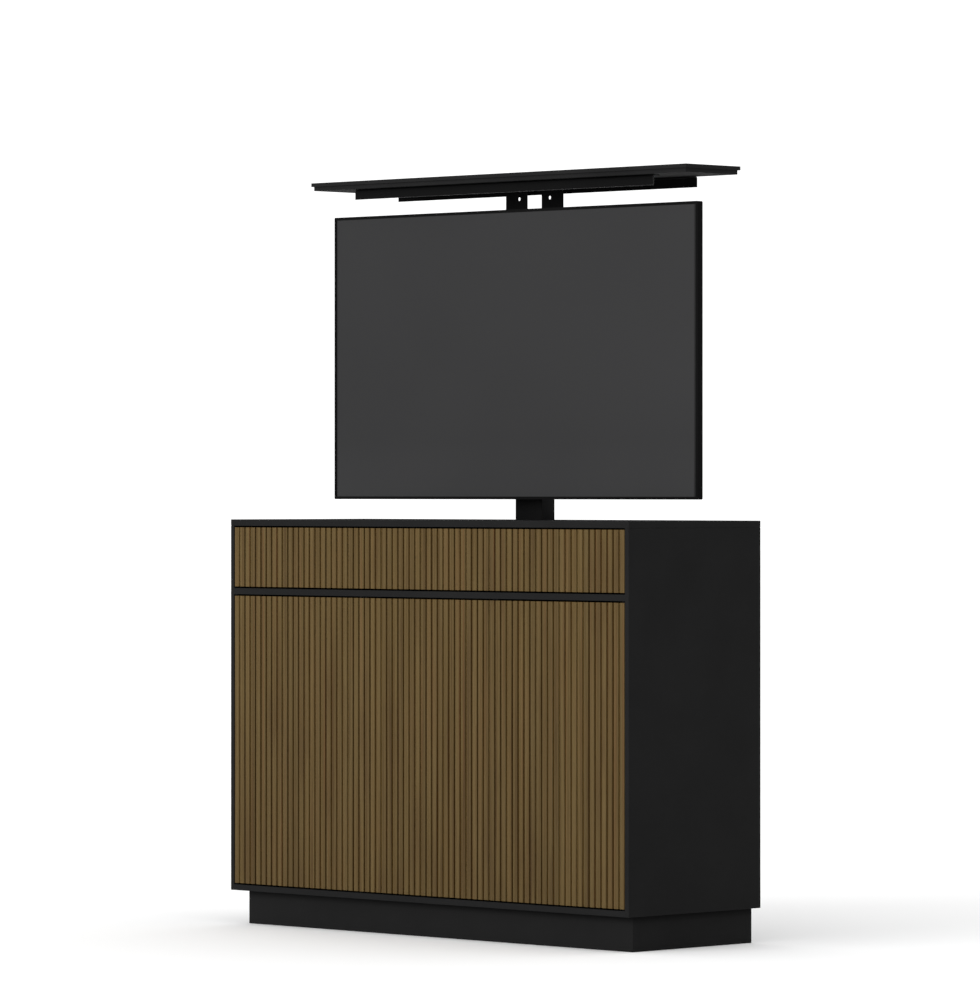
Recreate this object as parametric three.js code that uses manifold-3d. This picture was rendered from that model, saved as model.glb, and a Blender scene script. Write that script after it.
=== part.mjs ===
// A television lift cabinet. A telescopic column raises a television and a lid out of a slatted cabinet.
// Millimetres, +Z up. The origin is on the floor under the middle of the cabinet, and the fronts face -Y.
// The lift is drawn raised, the drawer and the doors closed.

import * as THREE from 'three';
import { mergeVertices } from 'three/addons/utils/BufferGeometryUtils.js';
import Module from 'manifold-3d';

const wasm = await Module();
wasm.setup();

// Television
const tvWidth = 1096;
const tvHeight = 622;
const tvEdgeDepth = 16;
const tvFullDepth = 33.3;
const tvCornerRadius = 3;
const tvBezelWidth = 6;
const tvLipThickness = 1.2;
const tvFrameWall = 2.4;
const tvScreenThickness = 4;
const tvCoverWall = 3;
const tvHousingWidth = 700;
const tvHousingHeight = 420;
const tvHousingRise = 30;
const tvHousingSlope = 14;
const tvHousingRadius = 24;
const tvShoulderSlopeShare = 0.65;
const tvShoulderDepthShare = 0.15;

// Cabinet
const cabinetHeight = 884;
const cabinetDepth = 400;
const topBorderSide = 37;
const topBorderBack = 27;
const wellDepth = 161.5;
const wellClearance = 15;
const sideThickness = 10;
const topThickness = 14;
const bottomThickness = 12.5;
const railThickness = 13.5;
const backThickness = 8;
const backInset = 2;
const dividerThickness = 12;
const dividerSetback = 7.5;
const partitionThickness = 16;
const partitionSetback = 2;
const boardEase = 0.6;
const fitGap = 0.3;
const cutOverrun = 2;
const weldOverlap = 1;

// Plinth
const plinthHeight = 74;
const plinthThickness = 16;
const plinthInsetSide = 21;
const plinthInsetFront = 35;
const plinthInsetBack = 5;

// Shelves
const shelfThickness = 16;
const shelfHeight = 311.5;
const shelfSetback = 4;
const shelfSideGap = 0.5;

// Cable holes
const outletWidth = 120;
const outletHeight = 50;
const outletOffset = 440;
const outletRise = 121.5;
const dividerHoleWidth = 80;
const dividerHoleHeight = 40;
const dividerHoleRise = 53.5;

// Slatted fronts
const bandHeight = 129;
const frontThickness = 18;
const frontGap = 2;
const frontSlot = 3.5;
const slatsPerDoor = 23;
const grooveWidth = 4;
const grooveDepth = 6;
const slatEase = 0.8;

// Door pivots
const pivotInset = 4;
const pivotRadius = 2;
const pivotSeat = 6;
const pivotReach = 8;
const pivotWasherRadius = 3.4;

// Push latches
const latchBodyWidth = 14;
const latchEndWall = 7.4;
const latchFlangeHeight = 28;
const latchFlangeThickness = 2;
const latchDrop = 24;
const latchStandoff = 6;
const plungerRadius = 4;
const plungerLength = 44;
const plungerTravel = 4;
const plungerDomeHeight = 2;

// Drawer
const runnerSpace = 12.7;
const runnerHeight = 40;
const runnerSheet = 1.5;
const runnerBend = 1;
const drawerWall = 12;
const drawerFloor = 6;
const drawerFloorRise = 8;
const drawerGroove = 5;
const drawerTopGap = 18;
const drawerBoxRise = 8;
const drawerRearGap = 14;

// Lift column
const columnFromWellBack = 35;
const columnHeadroom = 153.4;
const innerTubeWidth = 70;
const innerTubeDepth = 30;
const tubeWall = 3;
const tubeClearance = 2;
const tubeRadius = 1.5;
const stageStep = 8;
const stageFootClearance = 5;
const collarFlange = 6;
const collarSpigot = 30;
const liftTravel = 741;
const basePlateWidth = 170;
const basePlateBackGap = 6;
const basePlateThickness = 5;
const basePlateRadius = 8;
const baseBoltInset = 14;
const baseBoltRadius = 3.5;

// Gear motor and control box
const gearboxWidth = 52;
const gearboxDepth = 40;
const gearboxHeight = 46;
const gearboxRadius = 6;
const motorRadius = 19;
const motorLength = 100;
const motorEase = 3;
const motorGrooveDepth = 1.5;
const motorGrooveWidth = 3;
const motorGrooveShares = [0.67, 0.75];
const controlWidth = 160;
const controlHeight = 70;
const controlDepth = 32;
const controlEase = 3;
const controlOffset = 250;
const controlRise = 53.5;
const controlEarWidth = 12;
const controlEarThickness = 3;

// Head, carrier and television rails
const headWidth = 182;
const headThickness = 5;
const uprightThickness = 4;
const uprightHeight = 45;
const gussetThickness = 4;
const gussetHeight = 34;
const carrierWidth = 260;
const carrierHeight = 400;
const carrierThickness = 4;
const carrierClearance = 3;
const carrierBend = 3;
const carrierFlangeGap = 2;
const carrierWindowWidth = 50;
const carrierWindowRadius = 12;
const carrierWindowEdge = 44;
const carrierWindowOffset = 47;
const railSpacing = 200;
const railWidth = 30;
const railDepth = 9.4;
const railSheet = 2;
const railBend = 1.5;
const railLength = 420;

// Lid
const lidThickness = 17;
const lipThickness = 8;
const lipOverhang = 4.5;
const lidReveal = 1.5;
const lidCornerRadius = 1;
const tvBelowLid = 58;
const barLength = 900;
const barHeight = 22.2;
const barFlange = 20;
const barSheet = 3;
const barBend = 1;
const frontBarSetback = 24;
const backBarSetback = 8.5;

// Lid arms
const armWidth = 63;
const armSpacing = 108;
const armThickness = 3;
const armBend = 2;
const armForward = 2.7;
const armClearance = 5;
const armCornerRadius = 8;
const armFlangeGap = 2;
const armFoldLeg = 20;
const armHoleRadius = 4.5;
const armHoleOffset = 8;
const armHoleDrop = 31;
const armBoltRadius = 4.5;
const armBoltSpacing = 40;
const armBoltRise = 15;

// Fineness of the curves, and the distance below which two points are one
const cornerSteps = 3;
const roundSteps = 20;
const foldSteps = 4;
const domeSteps = 4;
const samePoint = 0.001;

// Places that follow from the sizes: the cabinet
const openingWidth = tvWidth + 2 * wellClearance;
const halfWidth = openingWidth / 2 + topBorderSide;
const innerHalf = halfWidth - sideThickness;
const frontY = -cabinetDepth / 2;
const backY = cabinetDepth / 2;
const backPanelY = backY - backInset;
const openingBackY = backY - topBorderBack;
const openingFrontY = openingBackY - wellDepth;
const dividerBackY = openingFrontY - dividerSetback;
const dividerFrontY = dividerBackY - dividerThickness;
const floorTop = plinthHeight + bottomThickness;
const topUnderside = cabinetHeight - topThickness;
const bandTop = topUnderside - frontSlot;
const bandBottom = bandTop - bandHeight;
const railTop = bandBottom - frontSlot;
const railBottom = railTop - railThickness;
const doorTop = railBottom - frontSlot;
const doorBottom = floorTop + frontSlot;
const frontBackY = frontY + frontThickness;
const partitionFrontY = frontBackY + partitionSetback;

// Places that follow from the sizes: the slats and the door seams
const doorNames = ['left', 'middle', 'right'];
const doorCount = doorNames.length;
const fieldHalf = innerHalf - frontGap;
const slatCount = doorCount * slatsPerDoor;
const slatWidth = (2 * fieldHalf - (slatCount - 1) * grooveWidth) / slatCount;
const slatPitch = slatWidth + grooveWidth;
const slatLeft = (index) => index * slatPitch - fieldHalf;
const seamX = (seam) => slatLeft(seam * slatsPerDoor) - grooveWidth / 2;
const doorLeftX = (door) => (door === 0 ? -fieldHalf : seamX(door) + frontGap / 2);
const doorRightX = (door) => (door === doorCount - 1 ? fieldHalf : seamX(door + 1) - frontGap / 2);

// Places that follow from the sizes: the column
const columnY = openingBackY - columnFromWellBack;
const nestStep = 2 * (tubeWall + tubeClearance);
const middleTubeWidth = innerTubeWidth + nestStep;
const middleTubeDepth = innerTubeDepth + nestStep;
const outerTubeWidth = middleTubeWidth + nestStep;
const outerTubeDepth = middleTubeDepth + nestStep;
const stageTravel = liftTravel / 2;
const basePlateTop = floorTop + fitGap + basePlateThickness;
const basePlateDepth = 2 * (backPanelY - backThickness - basePlateBackGap - columnY);
const outerTubeTop = cabinetHeight - columnHeadroom;
const middleTubeTop = outerTubeTop + stageStep + stageTravel;
const middleTubeFoot = basePlateTop + stageFootClearance + stageTravel;
const innerTubeTop = middleTubeTop + stageStep + stageTravel;
const innerTubeFoot = middleTubeFoot + stageFootClearance + stageTravel;

// Places that follow from the sizes: the carriage and the lid
const headBottom = innerTubeTop + fitGap;
const headTop = headBottom + headThickness;
const carrierBackY = columnY - outerTubeDepth / 2 - carrierClearance;
const carrierFrontY = carrierBackY - carrierThickness;
const railBackY = carrierFrontY - fitGap;
const tvFrontY = railBackY - railDepth - fitGap - tvFullDepth;
const tvEdgeBackY = tvFrontY + tvEdgeDepth;
const lidTop = cabinetHeight + liftTravel;
const lidBottom = lidTop - lidThickness;
const lidInnerHalf = openingWidth / 2 - lidReveal;
const lidInnerFrontY = openingFrontY + lidReveal;
const lidInnerBackY = openingBackY - lidReveal;
const lidHalf = lidInnerHalf + lipOverhang;
const lidFrontY = lidInnerFrontY - lipOverhang;
const lidBackY = lidInnerBackY + lipOverhang;
const tvTop = lidBottom - tvBelowLid;
const tvMiddle = tvTop - tvHeight / 2;
const barTop = lidBottom - fitGap;
const barBottom = barTop - barHeight;
const frontBarY = lidFrontY + frontBarSetback;
const backBarY = lidBackY - backBarSetback;
const armTop = barTop;
const armFrontY = columnY - armForward;
const armBackY = armFrontY + armThickness;
const armBottom = headTop + armClearance;
const uprightFrontY = armBackY + fitGap;

// Shapes

// A rectangle, with round corners where a radius is given. A radius is limited by the rectangle.
function rectangle(x0, x1, y0, y1, radius = 0) {
  const shape = new THREE.Shape();
  const r = Math.min(radius, (x1 - x0) / 2, (y1 - y0) / 2);
  if (r <= 0) {
    shape.moveTo(x0, y0);
    shape.lineTo(x1, y0);
    shape.lineTo(x1, y1);
    shape.lineTo(x0, y1);
    return shape;
  }
  shape.moveTo(x0 + r, y0);
  shape.lineTo(x1 - r, y0);
  shape.absarc(x1 - r, y0 + r, r, -Math.PI / 2, 0);
  shape.lineTo(x1, y1 - r);
  shape.absarc(x1 - r, y1 - r, r, 0, Math.PI / 2);
  shape.lineTo(x0 + r, y1);
  shape.absarc(x0 + r, y1 - r, r, Math.PI / 2, Math.PI);
  shape.lineTo(x0, y0 + r);
  shape.absarc(x0 + r, y0 + r, r, Math.PI, Math.PI * 3 / 2);
  return shape;
}

// A rectangle about a middle point.
function centredRectangle(x, y, width, height, radius = 0) {
  return rectangle(x - width / 2, x + width / 2, y - height / 2, y + height / 2, radius);
}

// The outline of a folded sheet. The path runs along the middle of the sheet. Each fold is a round bend.
function foldedSheet(path, thickness, insideRadius) {
  const half = thickness / 2;
  const bend = insideRadius + half;
  const centre = new THREE.Vector2();
  const left = [];
  const right = [];
  const addPair = (place, normal) => {
    left.push(place.clone().addScaledVector(normal, half));
    right.push(place.clone().addScaledVector(normal, -half));
  };
  const directions = path.slice(1).map((end, index) => end.clone().sub(path[index]).normalize());
  const normals = directions.map((direction) => new THREE.Vector2(-direction.y, direction.x));
  addPair(path[0], normals[0]);
  for (let fold = 1; fold < path.length - 1; fold += 1) {
    const before = directions[fold - 1];
    const after = directions[fold];
    const turn = Math.atan2(before.cross(after), before.dot(after));
    const side = Math.sign(turn);
    const reach = bend * Math.tan(Math.abs(turn) / 2);
    centre.copy(path[fold]).addScaledVector(before, -reach);
    centre.addScaledVector(normals[fold - 1], side * bend);
    for (let step = 0; step <= foldSteps; step += 1) {
      const normal = normals[fold - 1].clone().rotateAround(new THREE.Vector2(), turn * step / foldSteps);
      addPair(centre.clone().addScaledVector(normal, -side * bend), normal);
    }
  }
  addPair(path.at(-1), normals.at(-1));
  return new THREE.Shape([...left, ...right.reverse()]);
}

const point = (x, y) => new THREE.Vector2(x, y);

// Solids from shapes

const alongY = new THREE.Matrix4().makeRotationX(Math.PI / 2);
const alongX = new THREE.Matrix4().makeBasis(
  new THREE.Vector3(0, 1, 0),
  new THREE.Vector3(0, 0, 1),
  new THREE.Vector3(1, 0, 0),
);

// A shape drawn in plan and pushed up from z0 to z1.
function extrudeZ(shape, z0, z1) {
  const geometry = new THREE.ExtrudeGeometry(shape, {
    depth: z1 - z0,
    bevelEnabled: false,
    curveSegments: cornerSteps,
  });
  return geometry.translate(0, 0, z0);
}

// A shape drawn in X and Z, and pushed from y0 to y1.
function extrudeY(shape, y0, y1) {
  return extrudeZ(shape, -y1, -y0).applyMatrix4(alongY);
}

// A shape drawn in Y and Z, and pushed from x0 to x1.
function extrudeX(shape, x0, x1) {
  return extrudeZ(shape, x0, x1).applyMatrix4(alongX);
}

// A flat board with eased edges all round.
function board(x0, x1, y0, y1, z0, z1, ease = boardEase) {
  const geometry = new THREE.ExtrudeGeometry(rectangle(x0, x1, y0, y1), {
    depth: z1 - z0 - 2 * ease,
    bevelThickness: ease,
    bevelSize: ease,
    bevelOffset: -ease,
    bevelSegments: 1,
  });
  return geometry.translate(0, 0, z0 + ease);
}

// A round bar or a round cutter along Z.
function roundZ(x, y, z0, z1, radius) {
  const geometry = new THREE.CylinderGeometry(radius, radius, z1 - z0, roundSteps);
  return geometry.applyMatrix4(alongY).translate(x, y, (z0 + z1) / 2);
}

// A round bar or a round cutter along Y.
function roundY(x, z, y0, y1, radius) {
  return new THREE.CylinderGeometry(radius, radius, y1 - y0, roundSteps).translate(x, (y0 + y1) / 2, z);
}

// A skin through outlines of equal point count, with a cap at each end. The levels rise along Z.
function loft(sections) {
  const count = sections[0].outline.length;
  const last = (sections.length - 1) * count;
  const positions = [];
  const indices = [];
  for (const { outline, level } of sections) {
    outline.forEach((corner) => positions.push(corner.x, corner.y, level));
  }
  for (let base = 0; base < last; base += count) {
    for (let index = 0; index < count; index += 1) {
      const next = (index + 1) % count;
      indices.push(base + index, base + next, base + count + next);
      indices.push(base + index, base + count + next, base + count + index);
    }
  }
  for (const [a, b, c] of THREE.ShapeUtils.triangulateShape(sections[0].outline, [])) {
    indices.push(c, b, a, last + a, last + b, last + c);
  }
  const geometry = new THREE.BufferGeometry();
  geometry.setAttribute('position', new THREE.Float32BufferAttribute(positions, 3));
  geometry.setIndex(indices);
  geometry.computeVertexNormals();
  return geometry;
}

// The points of a shape, each of them once.
function outlineOf(shape) {
  const outline = shape.getPoints(cornerSteps);
  return outline.filter((corner, index) => corner.distanceTo(outline.at(index - 1)) > samePoint);
}

// Joining and cutting

function toSolid(geometry) {
  const bare = geometry.clone();
  bare.deleteAttribute('normal');
  bare.deleteAttribute('uv');
  const merged = mergeVertices(bare);
  return new wasm.Manifold(new wasm.Mesh({
    numProp: 3,
    vertProperties: merged.attributes.position.array,
    triVerts: Uint32Array.from(merged.index.array),
  }));
}

function toGeometry(solid) {
  const mesh = solid.getMesh();
  const geometry = new THREE.BufferGeometry();
  geometry.setAttribute('position', new THREE.BufferAttribute(mesh.vertProperties, 3));
  geometry.setIndex(new THREE.BufferAttribute(mesh.triVerts, 1));
  geometry.computeVertexNormals();
  return geometry;
}

function cut(body, tools) {
  return toGeometry(tools.reduce((solid, tool) => solid.subtract(toSolid(tool)), toSolid(body)));
}

function join(parts) {
  return toGeometry(parts.slice(1).reduce((solid, part) => solid.add(toSolid(part)), toSolid(parts[0])));
}

// Finishes

const finish = (color, roughness, metalness) => () => (
  new THREE.MeshStandardMaterial({ color, roughness, metalness })
);
const blackLacquer = finish(0x1c1d1e, 0.5, 0);
const walnut = finish(0x67553a, 0.6, 0);
const drawerBoard = finish(0x2a2a2b, 0.7, 0);
const blackSteel = finish(0x141414, 0.5, 0.6);
const zincSteel = finish(0x9a9ca0, 0.4, 0.9);
const blackPlastic = finish(0x18181a, 0.55, 0);
const greyPlastic = finish(0x4a4c4e, 0.6, 0);
const screenGlass = finish(0x2d2d2e, 0.35, 0);

function addPiece(group, name, geometry, material) {
  const mesh = new THREE.Mesh(geometry, material());
  mesh.name = name;
  group.add(mesh);
  return mesh;
}

// Left and right copies of what is told by a side of -1 or 1.
const bothSides = [['left', -1], ['right', 1]];

// Carcass

// A board given from its inner to its outer distance from the middle plane, on one side.
function sideBoard(side, inner, outer, y0, y1, z0, z1) {
  const low = Math.min(side * inner, side * outer);
  const high = Math.max(side * inner, side * outer);
  return board(low, high, y0, y1, z0, z1);
}

// The lid closes into a step: a shallow rebate for its lip, and a through opening for the rest.
function topPanel() {
  const plain = board(-halfWidth, halfWidth, frontY, backY, topUnderside, cabinetHeight);
  const opening = rectangle(
    -openingWidth / 2,
    openingWidth / 2,
    openingFrontY,
    openingBackY,
    lidCornerRadius,
  );
  const rebateHalf = lidHalf + lidReveal;
  const rebate = rectangle(
    -rebateHalf,
    rebateHalf,
    lidFrontY - lidReveal,
    lidBackY + lidReveal,
    lidCornerRadius + lidReveal,
  );
  return cut(plain, [
    extrudeZ(opening, topUnderside - cutOverrun, cabinetHeight + cutOverrun),
    extrudeZ(rebate, cabinetHeight - lipThickness - fitGap, cabinetHeight + cutOverrun),
  ]);
}

// The last door turns about its right edge, the others about their left edges.
const pivotX = (door) => (
  door === doorCount - 1 ? doorRightX(door) - pivotInset : doorLeftX(door) + pivotInset
);
const pivotY = frontY + pivotInset;

// The seat of a pivot pin, bored from the face at z. A positive depth goes up, and a negative one down.
function pivotBore(door, z, depth) {
  const mouth = z - Math.sign(depth) * cutOverrun;
  const end = z + depth;
  return roundZ(pivotX(door), pivotY, Math.min(mouth, end), Math.max(mouth, end), pivotRadius + fitGap);
}

function bottomPanel() {
  const half = innerHalf - fitGap;
  const plain = board(-half, half, frontY, backY, plinthHeight, floorTop);
  return cut(plain, doorNames.map((_, door) => pivotBore(door, floorTop, -pivotSeat - fitGap)));
}

function middlePanel() {
  const half = innerHalf - fitGap;
  const plain = board(-half, half, frontY, dividerFrontY - fitGap, railBottom, railTop);
  return cut(plain, doorNames.map((_, door) => pivotBore(door, railBottom, pivotSeat + fitGap)));
}

// An upright board across the cabinet, with long round-ended holes for cables.
function uprightPanel(y0, y1, holeXs, holeZ, holeWidth, holeHeight) {
  const half = innerHalf - fitGap;
  const plain = board(-half, half, y0, y1, floorTop + fitGap, topUnderside - fitGap);
  return cut(plain, holeXs.map((x) => {
    const hole = centredRectangle(x, holeZ, holeWidth, holeHeight, holeHeight / 2);
    return extrudeY(hole, y0 - cutOverrun, y1 + cutOverrun);
  }));
}

const partitionX = seamX(doorCount - 1);
const sideBayX = (innerHalf + partitionX) / 2;

function addCarcass(group) {
  for (const [side, sign] of bothSides) {
    const panel = sideBoard(sign, innerHalf, halfWidth, frontY, backY, plinthHeight, topUnderside - fitGap);
    addPiece(group, `side_panel_${side}`, panel, blackLacquer);
  }
  addPiece(group, 'top_panel', topPanel(), blackLacquer);
  addPiece(group, 'bottom_panel', bottomPanel(), blackLacquer);
  addPiece(group, 'middle_panel', middlePanel(), blackLacquer);
  const outletZ = floorTop + outletRise;
  const back = uprightPanel(
    backPanelY - backThickness,
    backPanelY,
    [-outletOffset, outletOffset],
    outletZ,
    outletWidth,
    outletHeight,
  );
  addPiece(group, 'back_panel', back, blackLacquer);
  const divider = uprightPanel(
    dividerFrontY,
    dividerBackY,
    [-sideBayX, 0, sideBayX],
    floorTop + dividerHoleRise,
    dividerHoleWidth,
    dividerHoleHeight,
  );
  addPiece(group, 'divider_panel', divider, blackLacquer);
  for (const [side, sign] of bothSides) {
    const inner = partitionX - partitionThickness / 2;
    const outer = partitionX + partitionThickness / 2;
    const rear = dividerFrontY - fitGap;
    const partition = sideBoard(
      sign,
      inner,
      outer,
      partitionFrontY,
      rear,
      floorTop + fitGap,
      railBottom - fitGap,
    );
    addPiece(group, `partition_${side}`, partition, blackLacquer);
    const shelfZ = floorTop + shelfHeight;
    const shelfFrontY = partitionFrontY + shelfSetback;
    const shelf = sideBoard(
      sign,
      outer + shelfSideGap,
      innerHalf - shelfSideGap,
      shelfFrontY,
      rear,
      shelfZ,
      shelfZ + shelfThickness,
    );
    addPiece(group, `shelf_${side}`, shelf, blackLacquer);
  }
}

function addPlinth(group) {
  const half = halfWidth - plinthInsetSide;
  const front = frontY + plinthInsetFront;
  const back = backY - plinthInsetBack;
  const high = plinthHeight - fitGap;
  const frontBoard = board(-half, half, front, front + plinthThickness, 0, high);
  const backBoard = board(-half, half, back - plinthThickness, back, 0, high);
  addPiece(group, 'plinth_front', frontBoard, blackLacquer);
  addPiece(group, 'plinth_back', backBoard, blackLacquer);
  for (const [side, sign] of bothSides) {
    const y0 = front + plinthThickness + fitGap;
    const y1 = back - plinthThickness - fitGap;
    const end = sideBoard(sign, half - plinthThickness, half, y0, y1, 0, high);
    addPiece(group, `plinth_${side}`, end, blackLacquer);
  }
}

// Slatted fronts

// The plan of a slatted front. The face is cut by square grooves between slats with eased edges.
// Where the front ends at a door seam, half of a groove less half of the seam stays beside the last slat.
function slattedPlan(x0, x1, firstSlat, lastSlat) {
  const floorY = frontY + grooveDepth;
  const plan = [point(x0, frontBackY)];
  for (let slat = firstSlat; slat <= lastSlat; slat += 1) {
    const left = slatLeft(slat);
    const right = left + slatWidth;
    if (slat > firstSlat || firstSlat > 0) {
      plan.push(point(slat > firstSlat ? left : x0, floorY), point(left, floorY));
    }
    plan.push(point(left, frontY + slatEase), point(left + slatEase, frontY));
    plan.push(point(right - slatEase, frontY), point(right, frontY + slatEase));
    if (slat < lastSlat || lastSlat < slatCount - 1) {
      plan.push(point(right, floorY));
    }
  }
  if (lastSlat < slatCount - 1) plan.push(point(x1, floorY));
  plan.push(point(x1, frontBackY));
  return new THREE.Shape(plan.filter((corner, index) => index === 0 || !corner.equals(plan[index - 1])));
}

function addDoors(group) {
  for (const [door, name] of doorNames.entries()) {
    const firstSlat = door * slatsPerDoor;
    const plan = slattedPlan(doorLeftX(door), doorRightX(door), firstSlat, firstSlat + slatsPerDoor - 1);
    const leaf = cut(extrudeZ(plan, doorBottom, doorTop), [
      pivotBore(door, doorBottom, pivotReach + fitGap),
      pivotBore(door, doorTop, -pivotReach - fitGap),
    ]);
    const hinged = new THREE.Group();
    hinged.position.set(pivotX(door), pivotY, 0);
    leaf.translate(-pivotX(door), -pivotY, 0);
    addPiece(hinged, `door_${name}`, leaf, walnut);
    group.add(hinged);
  }
}

// A pivot pin with its washer, turned about Z. The washer fills the slot between the door and the panel.
function pivotPin() {
  const washerHalf = frontSlot / 2 - fitGap;
  const seatEnd = frontSlot / 2 + pivotSeat;
  const doorEnd = frontSlot / 2 + pivotReach;
  return new THREE.LatheGeometry([
    point(0, -seatEnd),
    point(pivotRadius, -seatEnd),
    point(pivotRadius, -washerHalf),
    point(pivotWasherRadius, -washerHalf),
    point(pivotWasherRadius, washerHalf),
    point(pivotRadius, washerHalf),
    point(pivotRadius, doorEnd),
    point(0, doorEnd),
  ], roundSteps);
}

function addPivotPins(group) {
  for (const [door, name] of doorNames.entries()) {
    const bottomPin = addPiece(group, `pivot_${name}_bottom`, pivotPin(), blackSteel);
    bottomPin.position.set(pivotX(door), pivotY, floorTop + frontSlot / 2);
    bottomPin.rotation.x = Math.PI / 2;
    const topPin = addPiece(group, `pivot_${name}_top`, pivotPin(), blackSteel);
    topPin.position.set(pivotX(door), pivotY, railBottom - frontSlot / 2);
    topPin.rotation.x = -Math.PI / 2;
  }
}

// Push latches

// The housing lies along Y with its mouth at the origin. Its flange is on the +X side, by the partition.
function latchBody() {
  const half = latchBodyWidth / 2;
  const flange = latchFlangeHeight / 2;
  const inner = half - latchFlangeThickness;
  const outline = new THREE.Shape([
    point(-half + boardEase, -half),
    point(inner, -half),
    point(inner, -flange),
    point(half, -flange),
    point(half, flange),
    point(inner, flange),
    point(inner, half),
    point(-half + boardEase, half),
    point(-half, half - boardEase),
    point(-half, -half + boardEase),
  ]);
  const boreDepth = plungerLength - latchStandoff + plungerTravel + 2 * fitGap;
  return cut(extrudeY(outline, 0, boreDepth + latchEndWall), [
    roundY(0, 0, -cutOverrun, boreDepth, plungerRadius + fitGap),
  ]);
}

// The plunger has a domed tip at the origin and runs along +Y.
function latchPlunger() {
  const profile = [];
  for (let step = 0; step <= domeSteps; step += 1) {
    const angle = (step / domeSteps) * (Math.PI / 2);
    profile.push(point(plungerRadius * Math.sin(angle), plungerDomeHeight * (1 - Math.cos(angle))));
  }
  profile.push(point(plungerRadius, plungerLength), point(0, plungerLength));
  return new THREE.LatheGeometry(profile, roundSteps);
}

// Each latch is on the face of a partition behind the free end of its door.
const latches = [
  { name: 'left', partition: -partitionX, face: -1 },
  { name: 'middle', partition: partitionX, face: -1 },
  { name: 'right', partition: partitionX, face: 1 },
];

function addLatches(group) {
  for (const { name, partition, face } of latches) {
    const x = partition + face * (partitionThickness / 2 + fitGap + latchBodyWidth / 2);
    const z = railBottom - latchDrop;
    const tipY = frontBackY + fitGap;
    const body = addPiece(group, `latch_${name}_body`, latchBody(), greyPlastic);
    body.position.set(x, tipY + latchStandoff, z);
    body.rotation.y = face > 0 ? Math.PI : 0;
    const plunger = addPiece(group, `latch_${name}_plunger`, latchPlunger(), zincSteel);
    plunger.position.set(x, tipY, z);
  }
}

// Drawer

const drawerOuterX = innerHalf - runnerSpace;
const drawerInnerX = drawerOuterX - drawerWall;
const drawerFrontY = frontBackY + fitGap;
const drawerBackY = dividerFrontY - drawerRearGap;
const drawerBottomZ = bandBottom + drawerBoxRise;
const drawerTopZ = bandTop - drawerTopGap;
const drawerFloorZ = drawerBottomZ + drawerFloorRise;
const runnerZ = (drawerBottomZ + drawerTopZ) / 2;
const runnerFlange = runnerSpace - runnerSheet - 3 * fitGap;

// The fixed channel opens towards the drawer, and the moving one slides inside it.
function fixedRunner() {
  const webX = innerHalf - fitGap - runnerSheet / 2;
  const tipX = innerHalf - fitGap - runnerFlange;
  const half = (runnerHeight - runnerSheet) / 2;
  const path = [
    point(tipX, runnerZ + half),
    point(webX, runnerZ + half),
    point(webX, runnerZ - half),
    point(tipX, runnerZ - half),
  ];
  return extrudeY(foldedSheet(path, runnerSheet, runnerBend), drawerFrontY, drawerBackY);
}

function movingRunner() {
  const webX = drawerOuterX + fitGap + runnerSheet / 2;
  const tipX = innerHalf - fitGap - runnerSheet - fitGap;
  const half = (runnerHeight - runnerSheet) / 2 - runnerSheet - fitGap;
  const path = [
    point(tipX, runnerZ + half),
    point(webX, runnerZ + half),
    point(webX, runnerZ - half),
    point(tipX, runnerZ - half),
  ];
  return extrudeY(foldedSheet(path, runnerSheet, runnerBend), drawerFrontY, drawerBackY);
}

function addDrawer(fixedGroup, group) {
  const plan = slattedPlan(-fieldHalf, fieldHalf, 0, slatCount - 1);
  addPiece(group, 'drawer_front', extrudeZ(plan, bandBottom, bandTop), walnut);
  const floorHalf = drawerInnerX + drawerGroove - fitGap;
  const floorTopZ = drawerFloorZ + drawerFloor;
  const groove = board(
    -drawerInnerX - drawerGroove,
    drawerInnerX + drawerGroove,
    drawerFrontY - cutOverrun,
    drawerBackY + cutOverrun,
    drawerFloorZ - fitGap,
    floorTopZ + fitGap,
    0,
  );
  for (const [side, sign] of bothSides) {
    const wall = sideBoard(
      sign,
      drawerInnerX,
      drawerOuterX,
      drawerFrontY,
      drawerBackY,
      drawerBottomZ,
      drawerTopZ,
    );
    addPiece(group, `drawer_side_${side}`, cut(wall, [groove]), drawerBoard);
    const fixed = addPiece(fixedGroup, `drawer_runner_${side}_fixed`, fixedRunner(), zincSteel);
    const moving = addPiece(group, `drawer_runner_${side}_moving`, movingRunner(), zincSteel);
    if (sign < 0) {
      for (const runner of [fixed, moving]) {
        runner.rotation.z = Math.PI;
        runner.position.y = drawerFrontY + drawerBackY;
      }
    }
  }
  const backHalf = drawerInnerX - fitGap;
  const backFrontY = drawerBackY - drawerWall;
  const back = board(-backHalf, backHalf, backFrontY, drawerBackY, floorTopZ + fitGap, drawerTopZ);
  addPiece(group, 'drawer_back', back, drawerBoard);
  const floor = board(-floorHalf, floorHalf, drawerFrontY, drawerBackY, drawerFloorZ, floorTopZ);
  addPiece(group, 'drawer_floor', floor, drawerBoard);
}

// Lift column

function tube(width, depth, z0, z1) {
  const shape = centredRectangle(0, columnY, width, depth, tubeRadius);
  const hollow = centredRectangle(
    0,
    columnY,
    width - 2 * tubeWall,
    depth - 2 * tubeWall,
    tubeRadius - tubeWall,
  );
  shape.holes.push(hollow);
  return extrudeZ(shape, z0, z1);
}

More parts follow.
